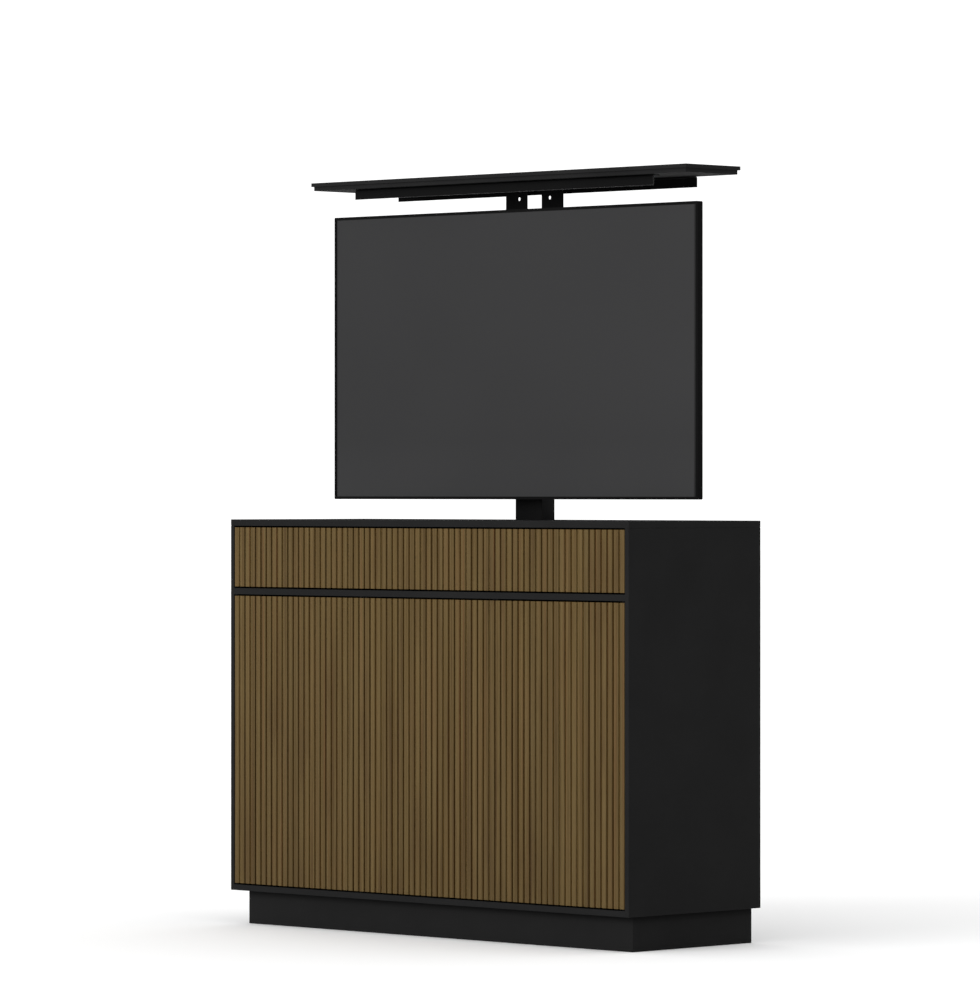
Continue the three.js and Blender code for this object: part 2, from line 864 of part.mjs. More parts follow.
// A plastic collar on the end of a tube. Its spigot fills the space round the next tube inside.
function collar(tubeWidth, tubeDepth, endZ) {
  const boreWidth = tubeWidth - nestStep + 2 * fitGap;
  const boreDepth = tubeDepth - nestStep + 2 * fitGap;
  const spigotInset = 2 * (tubeWall + fitGap);
  const flange = centredRectangle(0, columnY, tubeWidth, tubeDepth, tubeRadius);
  const spigot = centredRectangle(
    0,
    columnY,
    tubeWidth - spigotInset,
    tubeDepth - spigotInset,
    tubeRadius - tubeWall,
  );
  const bore = centredRectangle(0, columnY, boreWidth, boreDepth, tubeRadius);
  const flangeBottom = endZ + fitGap;
  const flangeTop = flangeBottom + collarFlange;
  const spigotBottom = endZ - collarSpigot;
  const whole = join([
    extrudeZ(flange, flangeBottom, flangeTop),
    extrudeZ(spigot, spigotBottom, flangeTop - weldOverlap),
  ]);
  return cut(whole, [extrudeZ(bore, spigotBottom - cutOverrun, flangeTop + cutOverrun)]);
}

function basePlate() {
  const z0 = floorTop + fitGap;
  const plate = centredRectangle(0, columnY, basePlateWidth, basePlateDepth, basePlateRadius);
  const x = basePlateWidth / 2 - baseBoltInset;
  const y = basePlateDepth / 2 - baseBoltInset;
  const bolts = [[-x, -y], [x, -y], [x, y], [-x, y]];
  return cut(extrudeZ(plate, z0, basePlateTop), bolts.map(([boltX, boltY]) => (
    roundZ(boltX, columnY + boltY, z0 - cutOverrun, basePlateTop + cutOverrun, baseBoltRadius)
  )));
}

// The gearbox is beside the foot of the column, with its motor upright on it. The motor has two grooves.
function gearMotor() {
  const z0 = basePlateTop + fitGap;
  const z1 = z0 + gearboxHeight;
  const x = outerTubeWidth / 2 + fitGap + gearboxWidth / 2;
  const gearbox = centredRectangle(x, columnY, gearboxWidth, gearboxDepth, gearboxRadius);
  const motorTop = z1 + motorLength;
  const grooveRadius = motorRadius - motorGrooveDepth;
  const profile = [point(0, z1 - weldOverlap), point(motorRadius, z1 - weldOverlap)];
  for (const share of motorGrooveShares) {
    const grooveZ = z1 + motorLength * share;
    profile.push(point(motorRadius, grooveZ), point(grooveRadius, grooveZ));
    profile.push(point(grooveRadius, grooveZ + motorGrooveWidth));
    profile.push(point(motorRadius, grooveZ + motorGrooveWidth));
  }
  profile.push(point(motorRadius, motorTop - motorEase));
  profile.push(point(motorRadius - motorEase, motorTop), point(0, motorTop));
  const motor = new THREE.LatheGeometry(profile, roundSteps).applyMatrix4(alongY).translate(x, columnY, 0);
  return join([extrudeZ(gearbox, z0, z1), motor]);
}

// The control box is screwed to the inside of the back panel by two ears.
function controlBox() {
  const y1 = backPanelY - backThickness - fitGap;
  const y0 = y1 - controlDepth;
  const z0 = floorTop + controlRise;
  const x0 = -controlOffset - controlWidth / 2;
  const x1 = x0 + controlWidth;
  const ears = centredRectangle(
    (x0 + x1) / 2,
    z0 + controlHeight / 2,
    controlWidth + 2 * controlEarWidth,
    controlHeight / 2,
    controlEarWidth / 2,
  );
  return join([
    board(x0, x1, y0, y1, z0, z0 + controlHeight, controlEase),
    extrudeY(ears, y1 - controlEarThickness, y1),
  ]);
}

function addColumn(fixedGroup, middleGroup, innerGroup) {
  addPiece(fixedGroup, 'lift_base_plate', basePlate(), blackSteel);
  const outer = tube(outerTubeWidth, outerTubeDepth, basePlateTop + fitGap, outerTubeTop);
  addPiece(fixedGroup, 'lift_outer_tube', outer, blackSteel);
  const outerCollar = collar(outerTubeWidth, outerTubeDepth, outerTubeTop);
  addPiece(fixedGroup, 'lift_outer_collar', outerCollar, blackPlastic);
  addPiece(fixedGroup, 'lift_gear_motor', gearMotor(), greyPlastic);
  addPiece(fixedGroup, 'lift_control_box', controlBox(), greyPlastic);
  const middle = tube(middleTubeWidth, middleTubeDepth, middleTubeFoot, middleTubeTop);
  addPiece(middleGroup, 'lift_middle_tube', middle, blackSteel);
  const middleCollar = collar(middleTubeWidth, middleTubeDepth, middleTubeTop);
  addPiece(middleGroup, 'lift_middle_collar', middleCollar, blackPlastic);
  const inner = tube(innerTubeWidth, innerTubeDepth, innerTubeFoot, innerTubeTop);
  addPiece(innerGroup, 'lift_inner_tube', inner, blackSteel);
}

// Carriage: head, carrier and television rails

const armBolts = (z) => [-armBoltSpacing / 2, armBoltSpacing / 2].map((offset) => ({ offset, z }));
const armX = armSpacing / 2;

// A plate on the inner tube, with an upright for the lid arms and a gusset behind each end of it.
function liftHead() {
  const half = headWidth / 2;
  const plateBackY = columnY + outerTubeDepth / 2;
  const plate = centredRectangle(0, columnY, headWidth, outerTubeDepth, tubeRadius);
  const upright = rectangle(-half, half, headTop - weldOverlap, headTop + uprightHeight);
  const uprightBackY = uprightFrontY + uprightThickness;
  const gusset = new THREE.Shape([
    point(uprightBackY - weldOverlap, headTop - weldOverlap),
    point(plateBackY - weldOverlap, headTop - weldOverlap),
    point(uprightBackY - weldOverlap, headTop + gussetHeight),
  ]);
  const whole = join([
    extrudeZ(plate, headBottom, headTop),
    extrudeY(upright, uprightFrontY, uprightBackY),
    ...[-half, half - gussetThickness].map((x) => extrudeX(gusset, x, x + gussetThickness)),
  ]);
  const bores = bothSides.flatMap(([, sign]) => armBolts(armBottom + armBoltRise).map(({ offset, z }) => (
    roundY(sign * armX + offset, z, uprightFrontY - cutOverrun, uprightBackY + cutOverrun, armBoltRadius)
  )));
  return cut(whole, bores);
}

// The carrier is one sheet. It hangs in front of the column from a fold that rests on the head.
function tvCarrier() {
  const sheetY = carrierBackY - carrierThickness / 2;
  const sheetZ = headTop + fitGap + carrierThickness / 2;
  const path = [
    point(armFrontY - carrierFlangeGap, sheetZ),
    point(sheetY, sheetZ),
    point(sheetY, headTop - carrierHeight),
  ];
  const half = carrierWidth / 2;
  const window0 = headTop - carrierHeight + carrierWindowEdge;
  const window1 = headTop - carrierWindowEdge;
  const windows = [-carrierWindowOffset, carrierWindowOffset].map((x) => {
    const x0 = x - carrierWindowWidth / 2;
    const hole = rectangle(x0, x0 + carrierWindowWidth, window0, window1, carrierWindowRadius);
    return extrudeY(hole, carrierFrontY - cutOverrun, carrierBackY + cutOverrun);
  });
  return cut(extrudeX(foldedSheet(path, carrierThickness, carrierBend), -half, half), windows);
}

// A television rail is an upright channel whose web is bolted to the television and which opens backwards.
function tvRail() {
  const half = (railWidth - railSheet) / 2;
  const webY = railBackY - railDepth + railSheet / 2;
  const path = [point(-half, railBackY), point(-half, webY), point(half, webY), point(half, railBackY)];
  const z0 = tvMiddle - railLength / 2;
  return extrudeZ(foldedSheet(path, railSheet, railBend), z0, z0 + railLength);
}

function addCarriage(group) {
  addPiece(group, 'lift_head', liftHead(), blackSteel);
  addPiece(group, 'tv_carrier', tvCarrier(), blackSteel);
  for (const [side, sign] of bothSides) {
    const rail = addPiece(group, `tv_rail_${side}`, tvRail(), blackSteel);
    rail.position.x = sign * railSpacing / 2;
  }
}

// Television

// A shallow tray with a lip round the screen, open at the back.
function tvFrame() {
  const whole = centredRectangle(0, tvMiddle, tvWidth, tvHeight, tvCornerRadius);
  const window = centredRectangle(0, tvMiddle, tvWidth - 2 * tvBezelWidth, tvHeight - 2 * tvBezelWidth);
  const inside = centredRectangle(0, tvMiddle, tvWidth - 2 * tvFrameWall, tvHeight - 2 * tvFrameWall);
  return cut(extrudeY(whole, tvFrontY, tvEdgeBackY), [
    extrudeY(window, tvFrontY - cutOverrun, tvEdgeBackY),
    extrudeY(inside, tvFrontY + tvLipThickness, tvEdgeBackY + cutOverrun),
  ]);
}

const tvInsideWidth = tvWidth - 2 * (tvFrameWall + fitGap);
const tvInsideHeight = tvHeight - 2 * (tvFrameWall + fitGap);

function tvScreen() {
  const y0 = tvFrontY + tvLipThickness + fitGap;
  return extrudeY(centredRectangle(0, tvMiddle, tvInsideWidth, tvInsideHeight), y0, y0 + tvScreenThickness);
}

// The housing swells out of the flat cover by a straight slope with a round shoulder, drawn as a loft.
function tvHousing(inset, backLevel) {
  const z = tvMiddle - tvHeight / 2 + tvHousingRise + tvHousingHeight / 2;
  const section = (shrink, level) => ({
    level: -level,
    outline: outlineOf(centredRectangle(
      0,
      z,
      tvHousingWidth - 2 * (inset + shrink),
      tvHousingHeight - 2 * (inset + shrink),
      tvHousingRadius - inset,
    )),
  });
  const swell = backLevel - tvEdgeBackY;
  return loft([
    section(tvHousingSlope, backLevel),
    section(tvHousingSlope * tvShoulderSlopeShare, backLevel - swell * tvShoulderDepthShare),
    section(0, tvEdgeBackY),
    section(0, tvEdgeBackY - tvCoverWall - cutOverrun * Math.sign(inset)),
  ]).applyMatrix4(alongY);
}

// The back cover is a shell: a flat plate within the frame and a hollow housing for the electronics.
function tvBackCover() {
  const plate = centredRectangle(0, tvMiddle, tvInsideWidth, tvInsideHeight);
  const backLevel = tvFrontY + tvFullDepth;
  const shell = join([extrudeY(plate, tvEdgeBackY - tvCoverWall, tvEdgeBackY), tvHousing(0, backLevel)]);
  return cut(shell, [tvHousing(tvCoverWall, backLevel - tvCoverWall)]);
}

function addTelevision(group) {
  addPiece(group, 'tv_frame', tvFrame(), blackPlastic);
  addPiece(group, 'tv_screen', tvScreen(), screenGlass);
  addPiece(group, 'tv_back_cover', tvBackCover(), blackPlastic);
}

// Lid

function lidPanel() {
  const lip = rectangle(-lidHalf, lidHalf, lidFrontY, lidBackY, lidCornerRadius);
  const body = rectangle(-lidInnerHalf, lidInnerHalf, lidInnerFrontY, lidInnerBackY, lidCornerRadius);
  const lipBottom = lidTop - lipThickness;
  return join([extrudeZ(lip, lipBottom, lidTop), extrudeZ(body, lidBottom, lipBottom + weldOverlap)]);
}

// A lid bar is an angle. Its web faces outwards at faceY, and its flange lies under the lid.
// The direction of the flange is 1 for the front bar and -1 for the back bar.
function lidBar(faceY, direction) {
  const webY = faceY + direction * barSheet / 2;
  const flangeZ = barTop - barSheet / 2;
  const path = [
    point(faceY + direction * barFlange, flangeZ),
    point(webY, flangeZ),
    point(webY, barBottom),
  ];
  return extrudeX(foldedSheet(path, barSheet, barBend), -barLength / 2, barLength / 2);
}

// A lid arm is one folded sheet: an upright plate, and a flange under the lid that reaches to the front bar.
// The side is -1 or 1, and the round hole is nearer to the inner edge of the arm.
function lidArm(side) {
  const half = armWidth / 2;
  const legBottom = armTop - armFoldLeg;
  const plateY = armFrontY + armThickness / 2;
  const flangeZ = armTop - armThickness / 2;
  const path = [
    point(frontBarY + barFlange + armFlangeGap, flangeZ),
    point(plateY, flangeZ),
    point(plateY, legBottom),
  ];
  const plate = rectangle(-half, half, armBottom, legBottom + armCornerRadius, armCornerRadius);
  const whole = join([
    extrudeX(foldedSheet(path, armThickness, armBend), -half, half),
    extrudeY(plate, armFrontY, armBackY),
  ]);
  const bores = armBolts(armBottom + armBoltRise).map(({ offset, z }) => (
    roundY(offset, z, armFrontY - cutOverrun, armBackY + cutOverrun, armBoltRadius)
  ));
  const holeX = -side * armHoleOffset;
  return cut(whole, [
    roundY(holeX, armTop - armHoleDrop, armFrontY - cutOverrun, armBackY + cutOverrun, armHoleRadius),
    ...bores,
  ]);
}

function addLid(group) {
  for (const [side, sign] of bothSides) {
    const arm = addPiece(group, `lid_arm_${side}`, lidArm(sign), blackSteel);
    arm.position.x = sign * armX;
  }
  addPiece(group, 'lid_bar_front', lidBar(frontBarY, 1), blackSteel);
  addPiece(group, 'lid_bar_back', lidBar(backBarY, -1), blackSteel);
  addPiece(group, 'lid_panel', lidPanel(), blackLacquer);
}

// The whole cabinet

const model = new THREE.Group();
const cabinet = new THREE.Group();
const drawer = new THREE.Group();
const liftMiddle = new THREE.Group();
const liftInner = new THREE.Group();
model.add(cabinet, drawer, liftMiddle, liftInner);

addCarcass(cabinet);
addPlinth(cabinet);
addPivotPins(cabinet);
addLatches(cabinet);
addDoors(model);
addDrawer(cabinet, drawer);
addColumn(cabinet, liftMiddle, liftInner);
addCarriage(liftInner);
addTelevision(liftInner);
addLid(liftInner);

export default model;
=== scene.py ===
import math

import bmesh
import bpy
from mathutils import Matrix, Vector


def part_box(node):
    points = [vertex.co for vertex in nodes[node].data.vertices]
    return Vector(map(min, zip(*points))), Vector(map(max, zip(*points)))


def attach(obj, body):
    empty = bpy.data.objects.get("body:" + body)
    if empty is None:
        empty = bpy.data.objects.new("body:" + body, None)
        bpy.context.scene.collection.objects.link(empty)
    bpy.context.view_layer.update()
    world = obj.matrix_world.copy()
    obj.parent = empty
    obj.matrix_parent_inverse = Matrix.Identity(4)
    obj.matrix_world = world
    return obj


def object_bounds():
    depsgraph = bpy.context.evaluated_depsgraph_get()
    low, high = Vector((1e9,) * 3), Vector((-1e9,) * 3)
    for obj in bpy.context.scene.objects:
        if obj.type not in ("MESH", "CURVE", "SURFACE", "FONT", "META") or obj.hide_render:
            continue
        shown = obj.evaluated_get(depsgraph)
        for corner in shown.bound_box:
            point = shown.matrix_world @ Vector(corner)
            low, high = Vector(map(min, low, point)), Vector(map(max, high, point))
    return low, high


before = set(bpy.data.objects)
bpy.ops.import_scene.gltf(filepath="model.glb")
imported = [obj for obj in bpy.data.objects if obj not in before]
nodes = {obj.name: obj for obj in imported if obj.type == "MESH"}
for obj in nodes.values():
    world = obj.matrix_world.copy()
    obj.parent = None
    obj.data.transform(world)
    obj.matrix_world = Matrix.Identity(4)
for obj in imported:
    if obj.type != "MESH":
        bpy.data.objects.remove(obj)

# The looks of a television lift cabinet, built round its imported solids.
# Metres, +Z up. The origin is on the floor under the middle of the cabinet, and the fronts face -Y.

cad_low, cad_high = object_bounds()
box = {name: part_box(name) for name in nodes}

# Sizes that the solids have and their boxes don't tell
SLATS = 69
GROOVE_WIDTH = 0.004
GROOVE_DEPTH = 0.006
TV_BEZEL = 0.006
OUTLET_X = 0.440
OUTLET_Z = 0.208
OUTLET_WIDTH = 0.120
OUTLET_HEIGHT = 0.050
DIVIDER_HOLE_X = 0.3933
DIVIDER_HOLE_Z = 0.140
DIVIDER_HOLE_WIDTH = 0.080
DIVIDER_HOLE_HEIGHT = 0.040
BASE_BOLT_INSET = 0.014
ARM_BOLT_HALF_SPACING = 0.020
ARM_BOLT_Z = 1.5129
ARM_BOLT_FRONT = 0.1353
HEAD_PLATE_BACK = 0.1426
CARRIER_SHEET_BACK = 0.110
BAR_SHEET = 0.003
RAIL_SHEET = 0.002
GEARBOX_HEIGHT = 0.046
CONTROL_EAR = 0.012
CONTROL_EAR_THICKNESS = 0.003
HOUSING_WIDTH = 0.700
HOUSING_HEIGHT = 0.420
HOUSING_RISE = 0.030
HOUSING_SLOPE = 0.014

# Camera
CAMERA_PLACE = (8.932, -8.948, 0.947)
CAMERA_TURN = math.radians(44.947)
CAMERA_LENS = 216.9
SENSOR = 36.0
FAR_CLIP = 200.0

# Light
HORIZON_STRENGTH = 0.55
ZENITH_STRENGTH = 1.32
BACKDROP_STRENGTH = 1.2
SUN_STRENGTH = 2.4
SUN_SOFTNESS = math.radians(40)
SUN_HEIGHT = math.radians(7)
SUN_SIDE = math.radians(15)
FLOOR_REACH = 60.0
FLOOR_ALBEDO = 0.962
FLOOR_ROUGHNESS = 0.9


# Camera, light and floor

def make_camera():
    data = bpy.data.cameras.new("camera")
    data.lens = CAMERA_LENS
    data.sensor_width = SENSOR
    data.clip_end = FAR_CLIP
    camera = bpy.data.objects.new("camera", data)
    camera.location = CAMERA_PLACE
    camera.rotation_euler = (math.pi / 2, 0, CAMERA_TURN)
    bpy.context.scene.collection.objects.link(camera)
    bpy.context.scene.camera = camera


def make_sky():
    """A pale sky, brighter overhead. The camera sees it as plain white."""
    world = bpy.data.worlds.new("studio")
    bpy.context.scene.world = world
    world.use_nodes = True
    tree = world.node_tree
    tree.nodes.clear()
    output = tree.nodes.new("ShaderNodeOutputWorld")
    mix = tree.nodes.new("ShaderNodeMixShader")
    seen = tree.nodes.new("ShaderNodeLightPath")
    light = tree.nodes.new("ShaderNodeBackground")
    direction = tree.nodes.new("ShaderNodeTexCoord")
    parts = tree.nodes.new("ShaderNodeSeparateXYZ")
    rise = tree.nodes.new("ShaderNodeMapRange")
    rise.inputs["To Min"].default_value = HORIZON_STRENGTH
    rise.inputs["To Max"].default_value = ZENITH_STRENGTH
    tree.links.new(direction.outputs["Generated"], parts.inputs[0])
    tree.links.new(parts.outputs["Z"], rise.inputs["Value"])
    tree.links.new(rise.outputs[0], light.inputs["Strength"])
    light.inputs["Color"].default_value = (1, 1, 1, 1)
    plain = tree.nodes.new("ShaderNodeBackground")
    plain.inputs["Color"].default_value = (1, 1, 1, 1)
    plain.inputs["Strength"].default_value = BACKDROP_STRENGTH
    tree.links.new(seen.outputs["Is Camera Ray"], mix.inputs["Fac"])
    tree.links.new(light.outputs[0], mix.inputs[1])
    tree.links.new(plain.outputs[0], mix.inputs[2])
    tree.links.new(mix.outputs[0], output.inputs["Surface"])


def make_sun():
    """A broad soft light from the front, low and a little to the left."""
    data = bpy.data.lights.new("sun", "SUN")
    data.energy = SUN_STRENGTH
    data.angle = SUN_SOFTNESS
    sun = bpy.data.objects.new("sun", data)
    towards = Vector((
        -math.sin(SUN_SIDE) * math.cos(SUN_HEIGHT),
        -math.cos(SUN_SIDE) * math.cos(SUN_HEIGHT),
        math.sin(SUN_HEIGHT),
    ))
    sun.rotation_mode = "QUATERNION"
    sun.rotation_quaternion = towards.to_track_quat("Z", "Y")
    bpy.context.scene.collection.objects.link(sun)


def make_floor():
    mesh = bpy.data.meshes.new("floor")
    low = cad_low.z
    reach = FLOOR_REACH
    corners = [(-reach, -reach, low), (reach, -reach, low), (reach, reach, low), (-reach, reach, low)]
    mesh.from_pydata(corners, [], [(0, 1, 2, 3)])
    floor = bpy.data.objects.new("floor", mesh)
    material = bpy.data.materials.new("studio_floor")
    material.use_nodes = True
    shader = material.node_tree.nodes["Principled BSDF"]
    shader.inputs["Base Color"].default_value = (FLOOR_ALBEDO, FLOOR_ALBEDO, FLOOR_ALBEDO, 1)
    shader.inputs["Roughness"].default_value = FLOOR_ROUGHNESS
    shader.inputs["Specular IOR Level"].default_value = 0.0
    mesh.materials.append(material)
    bpy.context.scene.collection.objects.link(floor)


view = bpy.context.scene.view_settings
view.view_transform = "Standard"
view.look = "None"
make_camera()
make_sky()
make_sun()
make_floor()


# Materials

def srgb(red, green, blue):
    """A display colour as the linear one that nodes take."""
    def linear(value):
        share = value / 255
        return share / 12.92 if share <= 0.04045 else ((share + 0.055) / 1.055) ** 2.4
    return (linear(red), linear(green), linear(blue), 1.0)


class Paint:
    """A material whose nodes are written in short lines."""

    def __init__(self, name, roughness=0.5, specular=0.5, metallic=0.0):
        self.material = bpy.data.materials.new(name)
        self.material.use_nodes = True
        self.tree = self.material.node_tree
        self.shader = self.tree.nodes["Principled BSDF"]
        self.shader.inputs["Roughness"].default_value = roughness
        self.shader.inputs["Specular IOR Level"].default_value = specular
        self.shader.inputs["Metallic"].default_value = metallic
        self.place = self.add("TexCoord").outputs["Object"]

    def feed(self, socket, value):
        """Links a socket to a node's output, or sets it to a number or colour."""
        if isinstance(value, bpy.types.NodeSocket):
            self.tree.links.new(value, socket)
        else:
            socket.default_value = value

    def add(self, kind, inputs=(), **settings):
        node = self.tree.nodes.new("ShaderNode" + kind)
        for key, value in settings.items():
            setattr(node, key, value)
        for key, value in dict(inputs).items():
            self.feed(node.inputs[key], value)
        return node

    def math(self, operation, first, second=0.0, third=0.0, clamp=False):
        node = self.add("Math", operation=operation, use_clamp=clamp)
        for socket, value in zip(node.inputs, (first, second, third)):
            self.feed(socket, value)
        return node.outputs[0]

    def product(self, first, *others):
        for other in others:
            first = self.math("MULTIPLY", first, other)
        return first

    def axes(self, vector=None):
        return self.add("SeparateXYZ", {0: vector or self.place}).outputs

    def vector(self, x, y, z):
        return self.add("CombineXYZ", {"X": x, "Y": y, "Z": z}).outputs[0]

    def stretched(self, x, y, z):
        """The place in the object, with each axis scaled."""
        return self.add("VectorMath", {0: self.place, 1: (x, y, z)}, operation="MULTIPLY").outputs[0]

    def noise(self, vector, scale=1.0, detail=2.0, roughness=0.5):
        inputs = {"Vector": vector, "Scale": scale, "Detail": detail, "Roughness": roughness}
        return self.add("TexNoise", inputs).outputs[0]

    def remap(self, value, low, high, to_low=0.0, to_high=1.0):
        inputs = {"Value": value, "From Min": low, "From Max": high, "To Min": to_low, "To Max": to_high}
        return self.add("MapRange", inputs).outputs[0]

    def vary(self, noise, low, high):
        """A number from low to high out of a noise, which mostly lies between 0.3 and 0.7."""
        return self.remap(noise, 0.3, 0.7, low, high)

    def ramp(self, value, stops):
        node = self.add("ValToRGB", {"Fac": value})
        marks = node.color_ramp.elements
        while len(marks) < len(stops):
            marks.new(0.5)
        for mark, (position, colour) in zip(marks, stops):
            mark.position = position
            mark.color = colour
        return node.outputs["Color"]

    def mix(self, share, first, second, blend="MIX"):
        node = self.add("Mix", data_type="RGBA", blend_type=blend)
        self.feed(node.inputs[0], share)
        self.feed(node.inputs[6], first)
        self.feed(node.inputs[7], second)
        return node.outputs[2]

    def shaded(self, colour, bright):
        """A colour times a number."""
        grey = self.add("CombineColor", {0: bright, 1: bright, 2: bright}).outputs[0]
        return self.mix(1.0, colour, grey, "MULTIPLY")

    def edges(self, radius, gain):
        """1 along convex and concave edges, and 0 on flat faces."""
        rounded = self.add("Bevel", {"Radius": radius}, samples=4).outputs[0]
        flat = self.add("NewGeometry").outputs["Normal"]
        along = self.add("VectorMath", {0: rounded, 1: flat}, operation="DOT_PRODUCT").outputs["Value"]
        return self.math("MULTIPLY", self.math("SUBTRACT", 1.0, along), gain, clamp=True)

    def bump(self, height, distance, strength):
        inputs = {"Height": height, "Distance": distance, "Strength": strength}
        return self.add("Bump", inputs).outputs[0]

    def finish(self, colour, roughness, normal):
        self.feed(self.shader.inputs["Base Color"], colour)
        self.feed(self.shader.inputs["Roughness"], roughness)
        self.feed(self.shader.inputs["Normal"], normal)
        return self.material


field_left = box["door_left"][0].x
field_right = box["door_right"][1].x
front_y = box["door_left"][0].y
slat_pitch = (field_right - field_left + GROOVE_WIDTH) / SLATS

# Walnut: its colours
STREAK_COLOURS = [
    (0.30, srgb(68, 50, 25)),
    (0.46, srgb(82, 66, 36)),
    (0.60, srgb(90, 74, 44)),
    (0.72, srgb(77, 58, 31)),
]
WARM_STREAK = srgb(95, 61, 35)
PALE_PATCH = srgb(88, 68, 39)
DARK_PATCH = srgb(73, 56, 31)
GROOVE_WALL_COLOURS = [
    (0.0, srgb(96, 66, 22)),
    (0.35, srgb(138, 98, 36)),
    (0.7, srgb(176, 138, 74)),
    (1.0, srgb(216, 184, 120)),
]
GROOVE_BOTTOM_PAINTED_SHADE = srgb(64, 46, 23)

# Walnut: how dense its noises are across the slats, into them and along them
STREAKS = (150.0, 60.0, 1.4)
WARM_STREAKS = (260.0, 0.9)
PATCHES = (26.0, 3.2)
FINE_GRAIN = (1400.0, 1400.0, 16.0)
PORES = (2600.0, 2600.0, 90.0)
WARM_LAYER = 4.0
PATCH_LAYER = 9.0
GRAIN_SHIFT = 3.71
TONE_SEED = 0.37
GROOVE_SEED = 17.0

# Walnut: ranges of brightness and roughness. The painted shade by height gives the tones at the floor and at
# half of
# the raised height: the wood is painted darker towards the floor.
SLAT_TONES = (0.90, 1.08)
FINE_TONES = (0.88, 1.10)
HEIGHT_PAINTED_SHADE = (0.905, 0.995)
PORE_SHADE = 0.30
WOOD_ROUGHNESS = (0.64, 0.52)

# Walnut: depths below the front, at which the colours of a groove start and end. The bottom's darker colour
# is painted shade.
WALL_START = 0.0012
WALL_SHARE = 0.85
BOTTOM_START = 0.0042
BOTTOM_END = 0.0054
FRONT_MARGIN = 0.0004


def slat_random(paint, slat, seed):
    """A number from 0 to 1 that is the same all over a slat."""
    seeded = paint.math("ADD", slat, seed)
    return paint.add("TexWhiteNoise", {"W": seeded}, noise_dimensions="1D").outputs["Value"]


def wood_colour(paint, slat):
    """Long streaks, thin warm lines and slow patches, which run on from the band to the doors."""
    x, y, z = paint.axes()[:3]
    shift = paint.math("MULTIPLY", slat, GRAIN_SHIFT)
    across, inwards, along = STREAKS
    streaks = paint.noise(paint.vector(
        paint.math("MULTIPLY_ADD", x, across, shift),
        paint.math("MULTIPLY", y, inwards),
        paint.math("MULTIPLY", z, along),
    ), 1.0, 3.0)
    across, along = WARM_STREAKS
    warm = paint.noise(paint.vector(
        paint.math("MULTIPLY_ADD", x, across, shift),
        WARM_LAYER,
        paint.math("MULTIPLY", z, along),
    ), 1.0, 2.0)
    across, along = PATCHES
    patches = paint.noise(paint.vector(
        paint.math("MULTIPLY", x, across),
        PATCH_LAYER,
        paint.math("MULTIPLY", z, along),
    ), 1.0, 2.0)
    colour = paint.ramp(streaks, STREAK_COLOURS)
    colour = paint.mix(paint.remap(warm, 0.62, 0.71, 0.0, 0.6), colour, WARM_STREAK)
    colour = paint.mix(paint.remap(patches, 0.53, 0.68, 0.0, 0.45), colour, PALE_PATCH)
    return paint.mix(paint.remap(patches, 0.47, 0.32, 0.0, 0.6), colour, DARK_PATCH)


def walnut():
    """Straight-grained walnut. Each slat has its own tone, and each groove its own light or dark walls.
    Painted shade darkens the bottoms of the grooves and, a little, the wood towards the floor.
    The plain backs and edges of the fronts are one broad sheet of the same wood."""
    paint = Paint("walnut", roughness=0.58, specular=0.08)
    x, y, z = paint.axes()[:3]
    slatted = paint.math("LESS_THAN", y, front_y + GROOVE_DEPTH + FRONT_MARGIN)
    slat = paint.math("FLOOR", paint.math("DIVIDE", paint.math("SUBTRACT", x, field_left), slat_pitch))
    slat = paint.math("MULTIPLY", slat, slatted)
    fine = paint.noise(paint.stretched(*FINE_GRAIN), 1.0, 3.0, 0.6)
    pores = paint.remap(paint.noise(paint.stretched(*PORES), 1.0, 1.0), 0.62, 0.70)
    bright = paint.product(
        paint.remap(slat_random(paint, slat, TONE_SEED), 0.0, 1.0, *SLAT_TONES),
        paint.vary(fine, *FINE_TONES),
        # Painted shade: the wood darkens towards the floor.
        paint.remap(z, cad_low.z, cad_high.z / 2.0, *HEIGHT_PAINTED_SHADE),
        paint.math("SUBTRACT", 1.0, paint.math("MULTIPLY", pores, PORE_SHADE)),
    )
    colour = paint.shaded(wood_colour(paint, slat), bright)
    wall = paint.remap(y, front_y + WALL_START, front_y + GROOVE_DEPTH)
    wall_colour = paint.ramp(slat_random(paint, slat, GROOVE_SEED), GROOVE_WALL_COLOURS)
    colour = paint.mix(paint.product(wall, slatted, WALL_SHARE), colour, wall_colour)
    # Painted shade at the bottom of each groove.
    bottom = paint.remap(y, front_y + BOTTOM_START, front_y + BOTTOM_END)
    colour = paint.mix(paint.product(bottom, slatted), colour, GROOVE_BOTTOM_PAINTED_SHADE)
    height = paint.math("SUBTRACT", paint.math("MULTIPLY", fine, 0.5), pores)
    return paint.finish(colour, paint.vary(fine, *WOOD_ROUGHNESS), paint.bump(height, 0.00015, 0.5))


# Coatings: colours of flat faces and of edges, lighter by wear and a painted highlight, and how coarse and
# how high the grain is
LACQUER = (0.0095, 0.0095, 0.0096, 1)
LACQUER_EDGE_WEAR_AND_HIGHLIGHT = (0.026, 0.026, 0.027, 1)
STEEL = (0.0035, 0.0035, 0.0036, 1)
STEEL_EDGE = (0.012, 0.012, 0.0125, 1)
PLASTIC = (0.0032, 0.0032, 0.0033, 1)
PLASTIC_EDGE = (0.009, 0.009, 0.0095, 1)
GREY = (0.070, 0.075, 0.080, 1)
GREY_EDGE = (0.10, 0.105, 0.11, 1)
SPRAYED = {"grain": 0.0011, "height": 0.00006}
POWDERED = {"grain": 0.0006, "height": 0.00008}
MOULDED_BLACK = {"grain": 0.0004, "height": 0.00004}
MOULDED_GREY = {"grain": 0.0005, "height": 0.00004}
EDGE_RADIUS = 0.0007
EDGE_GAIN = 6.0
SLOW_TONES = (0.88, 1.12)
GRAIN_TONES = (0.94, 1.06)
ROUGHNESS_SPREAD = 0.05

# How much of a face's normal lies along an axis where the painted light for that axis starts, and where it
# is full
TURNED = (0.5, 0.9)


